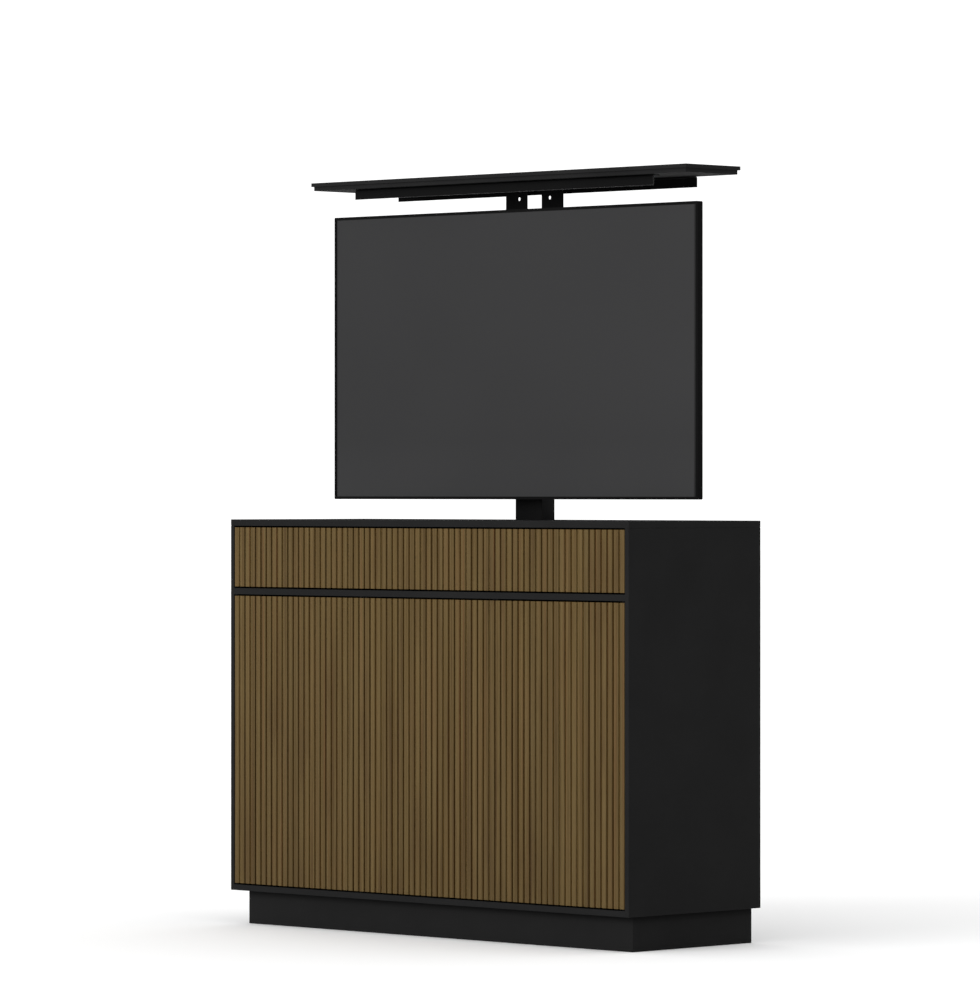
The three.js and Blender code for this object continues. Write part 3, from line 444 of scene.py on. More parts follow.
def coated(name, colour, edge, roughness, specular, grain, height,
           edge_wear_and_highlight=0.5, painted_top_light=1.0, painted_side_light=1.0, shade=None):
    """A sprayed, powder-coated or moulded surface: fine grain, slow mottling, and edges lightened by wear
    and by a painted highlight. Painted light lightens faces that look up or to the sides.
    A painted shade darkens a plinth board under the overhang:
    how far below the top it is darkest, how far down it ends, and what it leaves of the colour."""
    paint = Paint(name, roughness, specular)
    slow = paint.noise(paint.place, 9.0, 3.0)
    fine = paint.noise(paint.place, 1.0 / grain, 2.0, 0.6)
    normal = paint.axes(paint.add("NewGeometry").outputs["Normal"])
    bright = paint.product(
        paint.vary(slow, *SLOW_TONES),
        paint.vary(fine, *GRAIN_TONES),
        # Painted light: faces that look up or to the sides are made lighter.
        paint.remap(normal["Z"], *TURNED, 1.0, painted_top_light),
        paint.remap(paint.math("ABSOLUTE", normal["X"]), *TURNED, 1.0, painted_side_light),
    )
    # Painted shade under the overhang, darkest just below the plinth's top.
    if shade:
        near, far, least = shade
        top = box["plinth_front"][1].z
        bright = paint.product(bright, paint.remap(paint.axes()["Z"], top - far, top - near, 1.0, least))
    patchy = paint.remap(paint.noise(paint.place, 60.0, 3.0), 0.35, 0.65, 0.3, 1.0)
    # Edges lighter by wear and, where the share and the edge colour are high, by a painted highlight.
    worn_and_highlit = paint.product(paint.edges(EDGE_RADIUS, EDGE_GAIN), patchy, edge_wear_and_highlight)
    tone = paint.mix(worn_and_highlit, paint.shaded(colour, bright), edge)
    rough = paint.vary(slow, roughness - ROUGHNESS_SPREAD, roughness + ROUGHNESS_SPREAD)
    return paint.finish(tone, rough, paint.bump(fine, height, 0.6))


ZINC = (0.32, 0.33, 0.35, 1)
SPANGLE_DENSITY = 260.0
SCRATCHES = (900.0, 60.0, 900.0)


def zinc():
    """Zinc-plated steel: a faint spangle and soft scratches."""
    paint = Paint("zinc_steel", roughness=0.36, metallic=1.0)
    spangle = paint.add("TexVoronoi", {"Vector": paint.place, "Scale": SPANGLE_DENSITY}).outputs["Color"]
    shade = paint.add("RGBToBW", {0: spangle}).outputs[0]
    scratches = paint.noise(paint.stretched(*SCRATCHES), 1.0, 3.0)
    bright = paint.product(paint.remap(shade, 0.0, 1.0, 0.88, 1.06), paint.vary(scratches, 0.94, 1.05))
    rough = paint.remap(shade, 0.0, 1.0, 0.28, 0.46)
    return paint.finish(paint.shaded(ZINC, bright), rough, paint.bump(scratches, 0.00005, 0.4))


MELAMINE = (0.023, 0.023, 0.024, 1)
THREAD_DENSITY = 420.0


def melamine():
    """The drawer's dark board, with the fine linen pattern that is pressed into such boards."""
    paint = Paint("drawer_board", roughness=0.6, specular=0.3)
    threads = {"Vector": paint.place, "Scale": THREAD_DENSITY, "Distortion": 0.6}
    warp = paint.add("TexWave", threads, bands_direction="X").outputs[1]
    weft = paint.add("TexWave", threads, bands_direction="DIAGONAL").outputs[1]
    slow = paint.noise(paint.place, 14.0, 3.0)
    cloth = paint.math("MULTIPLY", paint.math("ADD", warp, weft), 0.5)
    bright = paint.product(paint.remap(cloth, 0.0, 1.0, 0.9, 1.1), paint.vary(slow, 0.92, 1.08))
    rough = paint.vary(slow, 0.56, 0.64)
    return paint.finish(paint.shaded(MELAMINE, bright), rough, paint.bump(cloth, 0.00005, 0.5))


# Screen: its two greys, the painted light at its foot, and the black strip round it
SCREEN_GREYS = (srgb(29, 29, 30), srgb(31, 31, 32))
SCREEN_BORDER = (0.002, 0.002, 0.002, 1)
SCREEN_FOOT_PAINTED_LIGHT = 1.45
SCREEN_FOOT_PAINTED_LIGHT_HEIGHT = 0.13
LIT_RIGHT = box["tv_frame"][1].x - TV_BEZEL - 0.0055
LIT_LEFT = box["tv_frame"][0].x + TV_BEZEL + 0.0008
LIT_TOP = box["tv_frame"][1].z - TV_BEZEL - 0.0006


def screen():
    """The panel's anti-glare face: dark, even and a little cloudy in its gloss, with a black strip round it.
    Painted light makes its foot a little lighter."""
    paint = Paint("screen_glass", roughness=0.38, specular=0.18)
    x, y, z = paint.axes()[:3]
    foot = box["tv_frame"][0].z
    cloud = paint.noise(paint.place, 2.2, 2.0)
    colour = paint.mix(paint.vary(cloud, 0.0, 1.0), *SCREEN_GREYS)
    # Painted light: the foot of the screen is made lighter.
    colour = paint.shaded(colour, paint.remap(z, foot, foot + SCREEN_FOOT_PAINTED_LIGHT_HEIGHT, SCREEN_FOOT_PAINTED_LIGHT, 1.0))
    right = paint.math("GREATER_THAN", x, LIT_RIGHT)
    left = paint.math("LESS_THAN", x, LIT_LEFT)
    above = paint.math("GREATER_THAN", z, LIT_TOP)
    outside = paint.math("MAXIMUM", paint.math("MAXIMUM", right, left), above)
    colour = paint.mix(outside, colour, SCREEN_BORDER)
    sparkle = paint.noise(paint.place, 1800.0, 1.0)
    return paint.finish(colour, paint.vary(cloud, 0.36, 0.40), paint.bump(sparkle, 0.00002, 0.3))


paints = {
    # The lacquer's lighter edges are wear and a painted highlight on the arrises.
    "black_lacquer": coated("black_lacquer", LACQUER, LACQUER_EDGE_WEAR_AND_HIGHLIGHT, 0.6, 0.04, **SPRAYED, edge_wear_and_highlight=0.9),
    "walnut": walnut(),
    "drawer_board": melamine(),
    "black_steel": coated("black_steel", STEEL, STEEL_EDGE, 0.6, 0.03, **POWDERED),
    "zinc_steel": zinc(),
    "black_plastic": coated("black_plastic", PLASTIC, PLASTIC_EDGE, 0.6, 0.03, **MOULDED_BLACK),
    "grey_plastic": coated("grey_plastic", GREY, GREY_EDGE, 0.55, 0.4, **MOULDED_GREY),
    "screen_glass": screen(),
}

# Nodes with paints of their own, carrying painted light, painted shade and a painted edge highlight
LID_LACQUER = (0.0135, 0.0135, 0.0137, 1)
SOFT_EDGE = (0.02, 0.02, 0.021, 1)
COLUMN_STEEL = (0.0028, 0.0028, 0.0029, 1)
# A painted highlight along the front lid bar's edges.
EDGE_PAINTED_HIGHLIGHT = (0.25, 0.25, 0.25, 1)
# Painted light on the lid's top.
LID_PAINTED_TOP_LIGHT = {"painted_top_light": 1.25}
# Painted light on the column's sides.
COLUMN_PAINTED_SIDE_LIGHT = {"painted_side_light": 3.7}
# The plinth: painted light on its sides and painted shade under the overhang.
PLINTH_PAINTED_LIGHT_AND_SHADE = {"painted_side_light": 1.12, "shade": (0.005, 0.017, 0.42)}

# The lid: a lighter, more matte copy of the black lacquer, with painted light on its top.
lid_paint = coated("lid_lacquer", LID_LACQUER, SOFT_EDGE, 0.7, 0.014, **SPRAYED, **LID_PAINTED_TOP_LIGHT)
# The column: a darker copy of the black steel, with painted light on its sides.
column_paint = coated("column_steel_painted_side_light", COLUMN_STEEL, STEEL_EDGE, 0.5, 0.035, **POWDERED, **COLUMN_PAINTED_SIDE_LIGHT)
plinth_paint = coated("plinth_lacquer", LACQUER, SOFT_EDGE, 0.6, 0.04, **SPRAYED, **PLINTH_PAINTED_LIGHT_AND_SHADE)
special = {
    # Painted highlight along the edges of the front lid bar.
    "lid_bar_front": coated("bar_steel_edge_highlight", STEEL, EDGE_PAINTED_HIGHLIGHT, 0.6, 0.03, **POWDERED, edge_wear_and_highlight=1.0),
    "lid_panel": lid_paint,
}
for side in ("front", "back", "left", "right"):
    special[f"plinth_{side}"] = plinth_paint
for stage in ("outer", "middle", "inner"):
    special[f"lift_{stage}_tube"] = column_paint

SMOOTH_BELOW = math.radians(32)
WELD_DISTANCE = 0.000002


def smoother():
    """A modifier's nodes: joined vertices, and smooth shading over every edge but the sharp ones."""
    group = bpy.data.node_groups.new("smooth_by_angle", "GeometryNodeTree")
    group.interface.new_socket("Geometry", in_out="INPUT", socket_type="NodeSocketGeometry")
    group.interface.new_socket("Geometry", in_out="OUTPUT", socket_type="NodeSocketGeometry")
    new, link = group.nodes.new, group.links.new
    start, end = new("NodeGroupInput"), new("NodeGroupOutput")
    bare = new("GeometryNodeRemoveAttribute")
    bare.inputs["Name"].default_value = "custom_normal"
    weld = new("GeometryNodeMergeByDistance")
    weld.inputs["Distance"].default_value = WELD_DISTANCE
    angle = new("GeometryNodeInputMeshEdgeAngle")
    below = new("FunctionNodeCompare")
    below.operation = "LESS_THAN"
    below.inputs["B"].default_value = SMOOTH_BELOW
    faces = new("GeometryNodeSetShadeSmooth")
    faces.domain = "FACE"
    edges = new("GeometryNodeSetShadeSmooth")
    edges.domain = "EDGE"
    link(start.outputs[0], bare.inputs["Geometry"])
    link(bare.outputs[0], weld.inputs["Geometry"])
    link(weld.outputs[0], faces.inputs["Geometry"])
    link(faces.outputs[0], edges.inputs["Geometry"])
    link(angle.outputs["Unsigned Angle"], below.inputs["A"])
    link(below.outputs[0], edges.inputs["Shade Smooth"])
    link(edges.outputs[0], end.inputs[0])
    return group


smooth_nodes = smoother()
for name, node in nodes.items():
    slot = node.material_slots[0].material.name.split(".")[0]
    node.material_slots[0].material = special.get(name, paints[slot])
    node.modifiers.new("smooth", "NODES").node_group = smooth_nodes


# Outlines of fittings, and forms that stand on faces of the solids

STEP = 0.0002
RING_POINTS = 24
CREASE = math.radians(35)
X, Y, Z = Vector((1, 0, 0)), Vector((0, 1, 0)), Vector((0, 0, 1))
FACES = {
    "front": (X, Z, -Y),
    "back": (X, Z, Y),
    "left": (Y, Z, -X),
    "right": (Y, Z, X),
    "top": (X, Y, Z),
    "bottom": (X, Y, -Z),
}


def round_outline(reach_at):
    """Points round a middle, each as far out as its angle says."""
    angles = [math.tau * (i + 0.5) / RING_POINTS for i in range(RING_POINTS)]
    return [(reach_at(a) * math.cos(a), reach_at(a) * math.sin(a)) for a in angles]


def circle(radius):
    return round_outline(lambda angle: radius)


def hexagon(half_width):
    side = math.tau / 6
    return round_outline(lambda angle: half_width / math.cos((angle + side / 2) % side - side / 2))


def cross(radius):
    """The recess of a cross-head screw."""
    return round_outline(lambda angle: radius * (0.65 + 0.35 * math.cos(4 * angle)))


def slab(width, height, radius):
    """A rectangle with round corners."""
    corners = [(1, 1, 0), (-1, 1, 1), (-1, -1, 2), (1, -1, 3)]
    steps = RING_POINTS // len(corners)
    points = []
    for across, up, turn in corners:
        for i in range(steps):
            angle = math.pi / 2 * (turn + i / (steps - 1))
            x = across * (width / 2 - radius) + radius * math.cos(angle)
            y = up * (height / 2 - radius) + radius * math.sin(angle)
            points.append((x, y))
    return points


# Heads of screws, bolts and nuts from the face up: an outline, its radius and its height. The unit is the
# head's radius for a screw, and the thread's size for a bolt or a nut.
DOMED_SCREW = [
    (circle, 1.00, 0.00),
    (circle, 1.00, 0.15),
    (circle, 0.86, 0.38),
    (circle, 0.62, 0.50),
    (cross, 0.50, 0.52),
    (cross, 0.40, 0.18),
]
SOCKET_BOLT = [
    (circle, 1.05, 0.00),
    (circle, 1.05, 0.16),
    (circle, 1.00, 0.20),
    (circle, 0.80, 0.20),
    (circle, 0.80, 0.84),
    (circle, 0.72, 0.92),
    (hexagon, 0.40, 0.92),
    (hexagon, 0.38, 0.45),
]
NUT = [
    (circle, 1.05, 0.00),
    (circle, 1.05, 0.16),
    (circle, 1.00, 0.20),
    (hexagon, 0.80, 0.20),
    (hexagon, 0.80, 0.94),
    (circle, 0.74, 1.00),
    (circle, 0.52, 1.00),
    (circle, 0.50, 0.92),
    (circle, 0.46, 1.18),
    (circle, 0.40, 1.24),
]


class Piece:
    """One detail piece, gathered from lofts that stand on faces of the solids."""

    def __init__(self, name, slot, body):
        self.name = name
        self.slot = slot
        self.body = body
        self.mesh = bmesh.new()

    def loft(self, face, place, rings, hollow=False):
        """Joins outlines at heights over a face. The ends are closed, or joined for a hollow ring."""
        across, up, out = FACES[face]
        loops = [
            [self.mesh.verts.new(Vector(place) + u * across + v * up + height * out) for u, v in outline]
            for outline, height in rings
        ]
        pairs = list(zip(loops, loops[1:]))
        if hollow:
            pairs.append((loops[-1], loops[0]))
        else:
            self.mesh.faces.new(loops[0])
            self.mesh.faces.new(loops[-1])
        for low, high in pairs:
            for i, corner in enumerate(low):
                j = (i + 1) % len(low)
                self.mesh.faces.new((corner, low[j], high[j], high[i]))

    def head(self, profile, face, place, size):
        """A screw, bolt or nut, from its profile."""
        rings = [(outline(radius * size), height * size) for outline, radius, height in profile]
        self.loft(face, place, rings)

    def turn(self, profile, face, place):
        """A turned form, from its radii and heights in metres."""
        self.loft(face, place, [(circle(radius), height) for radius, height in profile])

    def plate(self, face, place, width, height, thickness, radius=0.0006, bevel=STEP):
        inner = slab(width - 2 * bevel, height - 2 * bevel, max(radius - bevel, bevel))
        outer = slab(width, height, radius)
        self.loft(face, place, [(outer, 0), (outer, thickness - bevel), (inner, thickness)])

    def socket(self, face, place, width, height, rim=0.0012, thickness=0.0016):
        """A raised frame round a sunken port."""
        outer = slab(width, height, 4 * STEP)
        inner = slab(width - 2 * STEP, height - 2 * STEP, 3.5 * STEP)
        port = slab(width - 2 * rim, height - 2 * rim, 2 * STEP)
        self.loft(face, place, [
            (outer, 0),
            (outer, thickness - STEP),
            (inner, thickness),
            (port, thickness),
            (port, STEP),
        ])

    def lining(self, face, place, outline_at, depth, lip=0.004, wall=0.0016, rise=0.0012):
        """A grommet: a lining that goes down into a hole, with a lip over its rim. outline_at gives the
        hole's outline, grown by a length."""
        self.loft(face, place, [
            (outline_at(-STEP), -depth),
            (outline_at(-STEP), 0),
            (outline_at(lip), 0),
            (outline_at(lip), rise - STEP),
            (outline_at(lip - STEP), rise),
            (outline_at(-wall + STEP), rise),
            (outline_at(-wall), rise - STEP),
            (outline_at(-wall), -depth),
        ], hollow=True)

    def done(self):
        bmesh.ops.recalc_face_normals(self.mesh, faces=self.mesh.faces)
        for face in self.mesh.faces:
            face.smooth = True
        for edge in self.mesh.edges:
            edge.smooth = edge.calc_face_angle(math.pi) < CREASE
        data = bpy.data.meshes.new(self.name)
        self.mesh.to_mesh(data)
        self.mesh.free()
        data.materials.append(paints[self.slot])
        piece = bpy.data.objects.new(self.name, data)
        bpy.context.scene.collection.objects.link(piece)
        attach(piece, self.body)


def low(name):
    return box[name][0]


def high(name):
    return box[name][1]


def middle(name):
    return (low(name) + high(name)) / 2


def spread(start, end, count):
    """Evenly spaced places from start to end."""
    return [start + (end - start) * i / (count - 1) for i in range(count)]


SIDES = ("left", "right")
BOTH = (("left", -1), ("right", 1))
OTHER = {"left": "right", "right": "left"}


# Fittings of the cabinet, which the solids leave out

GLUE_INSET = 0.0002
GLUE_RADIUS = 0.0005


def glue_lines():
    """Glue in the joints of the carcass, so that no light shines through them."""
    lines = Piece("glue_lines", "black_lacquer", "cabinet")
    for side, sign in BOTH:
        panel = f"side_panel_{side}"
        width = high(panel).x - low(panel).x - 2 * GLUE_INSET
        length = high(panel).y - low(panel).y - 2 * GLUE_INSET
        gap = low("top_panel").z - high(panel).z
        place = (middle(panel).x, middle(panel).y, high(panel).z)
        lines.plate("top", place, width, length, gap, GLUE_RADIUS, STEP / 4)
        for board in ("middle_panel", "bottom_panel"):
            end = high(board).x
            face = low(panel).x if sign > 0 else -high(panel).x
            depth = high(board).y - low(board).y - 2 * GLUE_INSET
            height = high(board).z - low(board).z - 2 * GLUE_INSET
            place = (sign * end, middle(board).y, middle(board).z)
            lines.plate(side, place, depth, height, face - end, GLUE_RADIUS, STEP / 4)
    lines.done()


STRIKE_WIDTH = 0.011
STRIKE_HEIGHT = 0.022
STRIKE_RADIUS = 0.003
BUMPER = [(0.0025, 0), (0.0025, 0.0007), (0.0021, 0.0013), (0.0010, 0.0016)]
BUMPER_FROM_EDGE = 0.004
BUMPER_FROM_BOTTOM = 0.03
BUMPER_FROM_TOP = 0.08


def door_fittings():
    """Strike plates for the push latches, and bumpers that the doors close against."""
    for side in ("left", "middle", "right"):
        strike = Piece(f"strike_{side}", "zinc_steel", f"door_{side}")
        plunger = middle(f"latch_{side}_plunger")
        place = (plunger.x, high(f"door_{side}").y, plunger.z)
        strike.plate("back", place, STRIKE_WIDTH, STRIKE_HEIGHT, STEP, STRIKE_RADIUS, STEP / 4)
        strike.done()
    bumpers = Piece("door_bumpers", "grey_plastic", "cabinet")
    for board in ("partition_left", "partition_right"):
        for x in (low(board).x + BUMPER_FROM_EDGE, high(board).x - BUMPER_FROM_EDGE):
            for z in (low(board).z + BUMPER_FROM_BOTTOM, high(board).z - BUMPER_FROM_TOP):
                bumpers.turn(BUMPER, "front", (x, low(board).y, z))
    bumpers.done()


LATCH_SCREW = 0.0032
LATCH_SCREW_FROM_FRONT = 0.013
LATCH_SCREW_FROM_BACK = 0.009


def latch_screws():
    screws = Piece("latch_screws", "zinc_steel", "cabinet")
    for side, face in (("left", "left"), ("middle", "left"), ("right", "right")):
        body = f"latch_{side}_body"
        x = low(body).x if face == "left" else high(body).x
        for y in (low(body).y + LATCH_SCREW_FROM_FRONT, high(body).y - LATCH_SCREW_FROM_BACK):
            screws.head(DOMED_SCREW, face, (x, y, middle(body).z), LATCH_SCREW)
    screws.done()


PIN_RADIUS = 0.0025
PIN_COLLAR = 1.7 * PIN_RADIUS
PIN_REACH = 0.009
PIN_CHAMFER = 0.0004
PIN_FROM_END = 0.03
HOLE_PITCH = 0.032
HOLES_BEYOND = 4
SHELF_PIN = [
    (PIN_COLLAR, 0),
    (PIN_COLLAR, 0.0012),
    (PIN_RADIUS, 0.0013),
    (PIN_RADIUS, PIN_REACH - PIN_CHAMFER),
    (PIN_RADIUS - PIN_CHAMFER, PIN_REACH),
]
PIN_SLEEVE = [
    (PIN_RADIUS + 0.0012, 0),
    (PIN_RADIUS + 0.0012, 0.0003),
    (PIN_RADIUS + 0.0009, 0.0005),
    (PIN_RADIUS, 0.0005),
    (PIN_RADIUS, 0.0001),
]


def shelf_fittings():
    """Pins under the shelves, and the sleeved holes above and below that they can move to."""
    pins = Piece("shelf_pins", "zinc_steel", "cabinet")
    holes = Piece("shelf_pin_holes", "black_plastic", "cabinet")
    for side, sign in BOTH:
        shelf = f"shelf_{side}"
        panel, partition = f"side_panel_{side}", f"partition_{side}"
        outer = low(panel).x if sign > 0 else high(panel).x
        inner = high(partition).x if sign > 0 else low(partition).x
        z = low(shelf).z - PIN_RADIUS - STEP
        for y in (low(shelf).y + PIN_FROM_END, high(shelf).y - PIN_FROM_END):
            for x, face in ((outer, OTHER[side]), (inner, side)):
                pins.turn(SHELF_PIN, face, (x, y, z))
                for row in range(-HOLES_BEYOND, HOLES_BEYOND + 1):
                    if row:
                        holes.turn(PIN_SLEEVE, face, (x, y, z + row * HOLE_PITCH))
    pins.done()
    holes.done()


BRACKET_SHEET = 0.0015
BRACKET_LEG = 0.028
BRACKET_HEIGHT = 0.040
BRACKET_RADIUS = 0.002
BRACKET_SCREW = 0.0036
BRACKET_SCREW_OUT = 0.6 * BRACKET_LEG
RUNNER_SCREW = 0.0040
RUNNER_SCREWS = 3
RUNNER_SCREW_FROM_FRONT = 0.06
RUNNER_SCREW_FROM_BACK = 0.03


def drawer_fittings():
    """Angle brackets that hold the drawer's front, and the screws of its runners."""
    brackets = Piece("drawer_brackets", "zinc_steel", "drawer")
    screws = Piece("drawer_screws", "zinc_steel", "drawer")
    back = high("drawer_front").y
    start = back + STEP
    size = (BRACKET_LEG, BRACKET_HEIGHT, BRACKET_SHEET, BRACKET_RADIUS)
    for side, sign in BOTH:
        board = f"drawer_side_{side}"
        inner = low(board).x if sign > 0 else high(board).x
        face = OTHER[side]
        z = middle(board).z
        brackets.plate(face, (inner, start + BRACKET_LEG / 2, z), *size)
        brackets.plate("back", (inner - sign * BRACKET_LEG / 2, back, z), *size)
        for rise in (-BRACKET_HEIGHT / 4, BRACKET_HEIGHT / 4):
            on_side = (inner - sign * BRACKET_SHEET, start + BRACKET_SCREW_OUT, z + rise)
            on_front = (inner - sign * BRACKET_SCREW_OUT, back + BRACKET_SHEET, z + rise)
            screws.head(DOMED_SCREW, face, on_side, BRACKET_SCREW)
            screws.head(DOMED_SCREW, "back", on_front, BRACKET_SCREW)
        runner_z = middle(f"drawer_runner_{side}_fixed").z
        first, last = back + RUNNER_SCREW_FROM_FRONT, high(board).y - RUNNER_SCREW_FROM_BACK
        for y in spread(first, last, RUNNER_SCREWS):
            screws.head(DOMED_SCREW, face, (inner, y, runner_z), RUNNER_SCREW)
    brackets.done()
    screws.done()


BACK_SCREW = 0.0034
BACK_SCREW_INSET = 0.009
BACK_SCREWS_ACROSS = 8
BACK_SCREWS_UP = 6


def back_screws():
    screws = Piece("back_screws", "zinc_steel", "cabinet")
    panel = "back_panel"
    left, right = low(panel).x + BACK_SCREW_INSET, high(panel).x - BACK_SCREW_INSET
    bottom, top = low(panel).z + BACK_SCREW_INSET, high(panel).z - BACK_SCREW_INSET
    places = [(x, z) for z in (bottom, top) for x in spread(left, right, BACK_SCREWS_ACROSS)]
    places += [(x, z) for x in (left, right) for z in spread(bottom, top, BACK_SCREWS_UP)[1:-1]]
    for x, z in places:
        screws.head(DOMED_SCREW, "back", (x, high(panel).y, z), BACK_SCREW)
    screws.done()


def cable_grommets():
    """Linings in the cable holes of the back panel and of the divider."""
    def long_hole(width, height):
        return lambda grow: slab(width + 2 * grow, height + 2 * grow, height / 2 + grow - STEP)

    grommets = Piece("cable_grommets", "black_plastic", "cabinet")
    back, board = "back_panel", "divider_panel"
    outlet = long_hole(OUTLET_WIDTH, OUTLET_HEIGHT)
    for x in (-OUTLET_X, OUTLET_X):
        grommets.lining("back", (x, high(back).y, OUTLET_Z), outlet, high(back).y - low(back).y)
    hole = long_hole(DIVIDER_HOLE_WIDTH, DIVIDER_HOLE_HEIGHT)
    for x in (-DIVIDER_HOLE_X, 0, DIVIDER_HOLE_X):
        grommets.lining("front", (x, low(board).y, DIVIDER_HOLE_Z), hole, high(board).y - low(board).y)
    grommets.done()


# Fittings of the lift

BASE_THREAD = 0.006
GRUB_X = 0.022
GRUB_FROM_TOP = 0.003
GRUB_SCREW = [
    (circle(0.0019), 0),
    (circle(0.0018), STEP),
    (hexagon(0.0010), STEP),
    (hexagon(0.0010), STEP / 2),
]


def column_fittings():
    """Bolts of the base plate and grub screws of the guide collars."""
    bolts = Piece("base_bolts", "zinc_steel", "cabinet")
    plate = "lift_base_plate"
    for x in (low(plate).x + BASE_BOLT_INSET, high(plate).x - BASE_BOLT_INSET):
        for y in (low(plate).y + BASE_BOLT_INSET, high(plate).y - BASE_BOLT_INSET):
            bolts.head(SOCKET_BOLT, "top", (x, y, high(plate).z), BASE_THREAD)
    bolts.done()
    for collar, body in (("lift_outer_collar", "cabinet"), ("lift_middle_collar", "lift_middle")):
        grubs = Piece(f"{collar}_screws", "zinc_steel", body)
        z = high(collar).z - GRUB_FROM_TOP
        for x in (middle(collar).x - GRUB_X, middle(collar).x + GRUB_X):
            for face, y in (("front", low(collar).y), ("back", high(collar).y)):
                grubs.loft(face, (x, y, z), GRUB_SCREW)
        grubs.done()


ARM_THREAD = 0.008
CARRIER_THREAD = 0.006
CARRIER_NUT_FROM_BOTTOM = 0.05
CARRIER_NUT_FROM_TOP = 0.06
LID_SCREW = 0.0036
LID_SCREW_FROM_END = 0.03
LID_SCREWS = 7
LID_SCREW_FROM_MIDDLE = 0.1


def carriage_fittings():
    """What bolts the lid arms to the lift's head, the television to its rails, and the bars to the lid."""
    bolts = Piece("carriage_bolts", "zinc_steel", "lift_inner")
    for side in SIDES:
        centre = middle(f"lid_arm_{side}").x
        for x in (centre - ARM_BOLT_HALF_SPACING, centre + ARM_BOLT_HALF_SPACING):
            bolts.head(SOCKET_BOLT, "front", (x, ARM_BOLT_FRONT, ARM_BOLT_Z), ARM_THREAD)
            bolts.head(NUT, "back", (x, HEAD_PLATE_BACK, ARM_BOLT_Z), ARM_THREAD)
        x = middle(f"tv_rail_{side}").x
        lower = low("tv_carrier").z + CARRIER_NUT_FROM_BOTTOM
        upper = high("tv_carrier").z - CARRIER_NUT_FROM_TOP
        for z in (lower, upper):
            bolts.head(NUT, "back", (x, CARRIER_SHEET_BACK, z), CARRIER_THREAD)
    bolts.done()
    screws = Piece("lid_screws", "black_steel", "lift_inner")
    for bar, front_sheet, back_sheet in (("lid_bar_front", BAR_SHEET, 0), ("lid_bar_back", 0, BAR_SHEET)):
        flange_y = (low(bar).y + front_sheet + high(bar).y - back_sheet) / 2
        for x in spread(low(bar).x + LID_SCREW_FROM_END, high(bar).x - LID_SCREW_FROM_END, LID_SCREWS):
            if abs(x) > LID_SCREW_FROM_MIDDLE:
                screws.head(DOMED_SCREW, "bottom", (x, flange_y, high(bar).z - BAR_SHEET), LID_SCREW)
    screws.done()


MOTOR_CAP = [(0.0120, 0), (0.0120, 0.0014), (0.0108, 0.0022), (0.0052, 0.0022), (0.0048, 0.0012)]
MOTOR_SCREW = 0.0028
MOTOR_SCREW_X = 0.021
MOTOR_SCREW_Y = 0.015
MOTOR_SOCKET = {"width": 0.018, "height": 0.013, "rim": 0.0016, "thickness": 0.003}
COVER_INSET = 0.004
COVER_SHEET = 0.0012
COVER_RADIUS = 0.003
COVER_SCREW = 0.0026
COVER_SCREW_INSET = 0.010
EAR_SCREW = 0.0036
VENT_X = -0.030
VENT_LENGTH = 0.052
VENT_WIDTH = 0.0018
VENT_RISE = 0.0008
VENT_RADIUS = 0.0008
VENTS = 7
VENTS_FROM = -0.004
VENTS_TO = 0.020
LAMP = [(0.0022, 0), (0.0022, 0.0008), (0.0014, 0.0015)]
LAMP_X = 0.050
CONTROL_SOCKETS = ((-0.045, 0.026), (-0.005, 0.016), (0.025, 0.016))
CONTROL_SOCKET = {"height": 0.013, "rim": 0.0014, "thickness": 0.0020}


def motor_fittings(screws, ports, covers):
    """The motor's screws, socket and end cap."""
    motor = "lift_gear_motor"
    centre = middle(motor)
    shoulder = low(motor).z + GEARBOX_HEIGHT
    for x in (centre.x - MOTOR_SCREW_X, centre.x + MOTOR_SCREW_X):
        for y in (centre.y - MOTOR_SCREW_Y, centre.y + MOTOR_SCREW_Y):
            screws.head(DOMED_SCREW, "top", (x, y, shoulder), MOTOR_SCREW)
    ports.socket("right", (high(motor).x, centre.y, (low(motor).z + shoulder) / 2), **MOTOR_SOCKET)
    covers.turn(MOTOR_CAP, "top", (centre.x, centre.y, high(motor).z))


def control_fittings(screws, ports, covers):
    """The control box's cover, lamp, vents, screws and sockets."""
    control = "lift_control_box"
    centre = middle(control)
    front, bottom = low(control).y, low(control).z
    face = front - COVER_SHEET
    width = high(control).x - low(control).x - 2 * CONTROL_EAR
    height = high(control).z - bottom
    cover = (width - 2 * COVER_INSET, height - 2 * COVER_INSET, COVER_SHEET, COVER_RADIUS)
    covers.plate("front", (centre.x, front, centre.z), *cover)
    for sign in (-1, 1):
        x = centre.x + sign * (width / 2 - COVER_SCREW_INSET)
        for up in (-1, 1):
            z = centre.z + up * (height / 2 - COVER_SCREW_INSET)
            screws.head(DOMED_SCREW, "front", (x, face, z), COVER_SCREW)
        ear = centre.x + sign * (width + CONTROL_EAR) / 2
        ear_front = high(control).y - CONTROL_EAR_THICKNESS
        screws.head(DOMED_SCREW, "front", (ear, ear_front, centre.z), EAR_SCREW)
    for z in spread(centre.z + VENTS_FROM, centre.z + VENTS_TO, VENTS):
        ports.plate("front", (centre.x + VENT_X, face, z), VENT_LENGTH, VENT_WIDTH, VENT_RISE, VENT_RADIUS)
    covers.turn(LAMP, "front", (centre.x + LAMP_X, face, centre.z))
    for x, socket_width in CONTROL_SOCKETS:
        ports.socket("bottom", (centre.x + x, centre.y, bottom), socket_width, **CONTROL_SOCKET)


def drive_fittings():
    screws = Piece("drive_screws", "zinc_steel", "cabinet")
    ports = Piece("drive_sockets", "black_plastic", "cabinet")
    covers = Piece("drive_covers", "grey_plastic", "cabinet")
    motor_fittings(screws, ports, covers)
    control_fittings(screws, ports, covers)
    screws.done()
    ports.done()
    covers.done()


# Fittings of the television's back

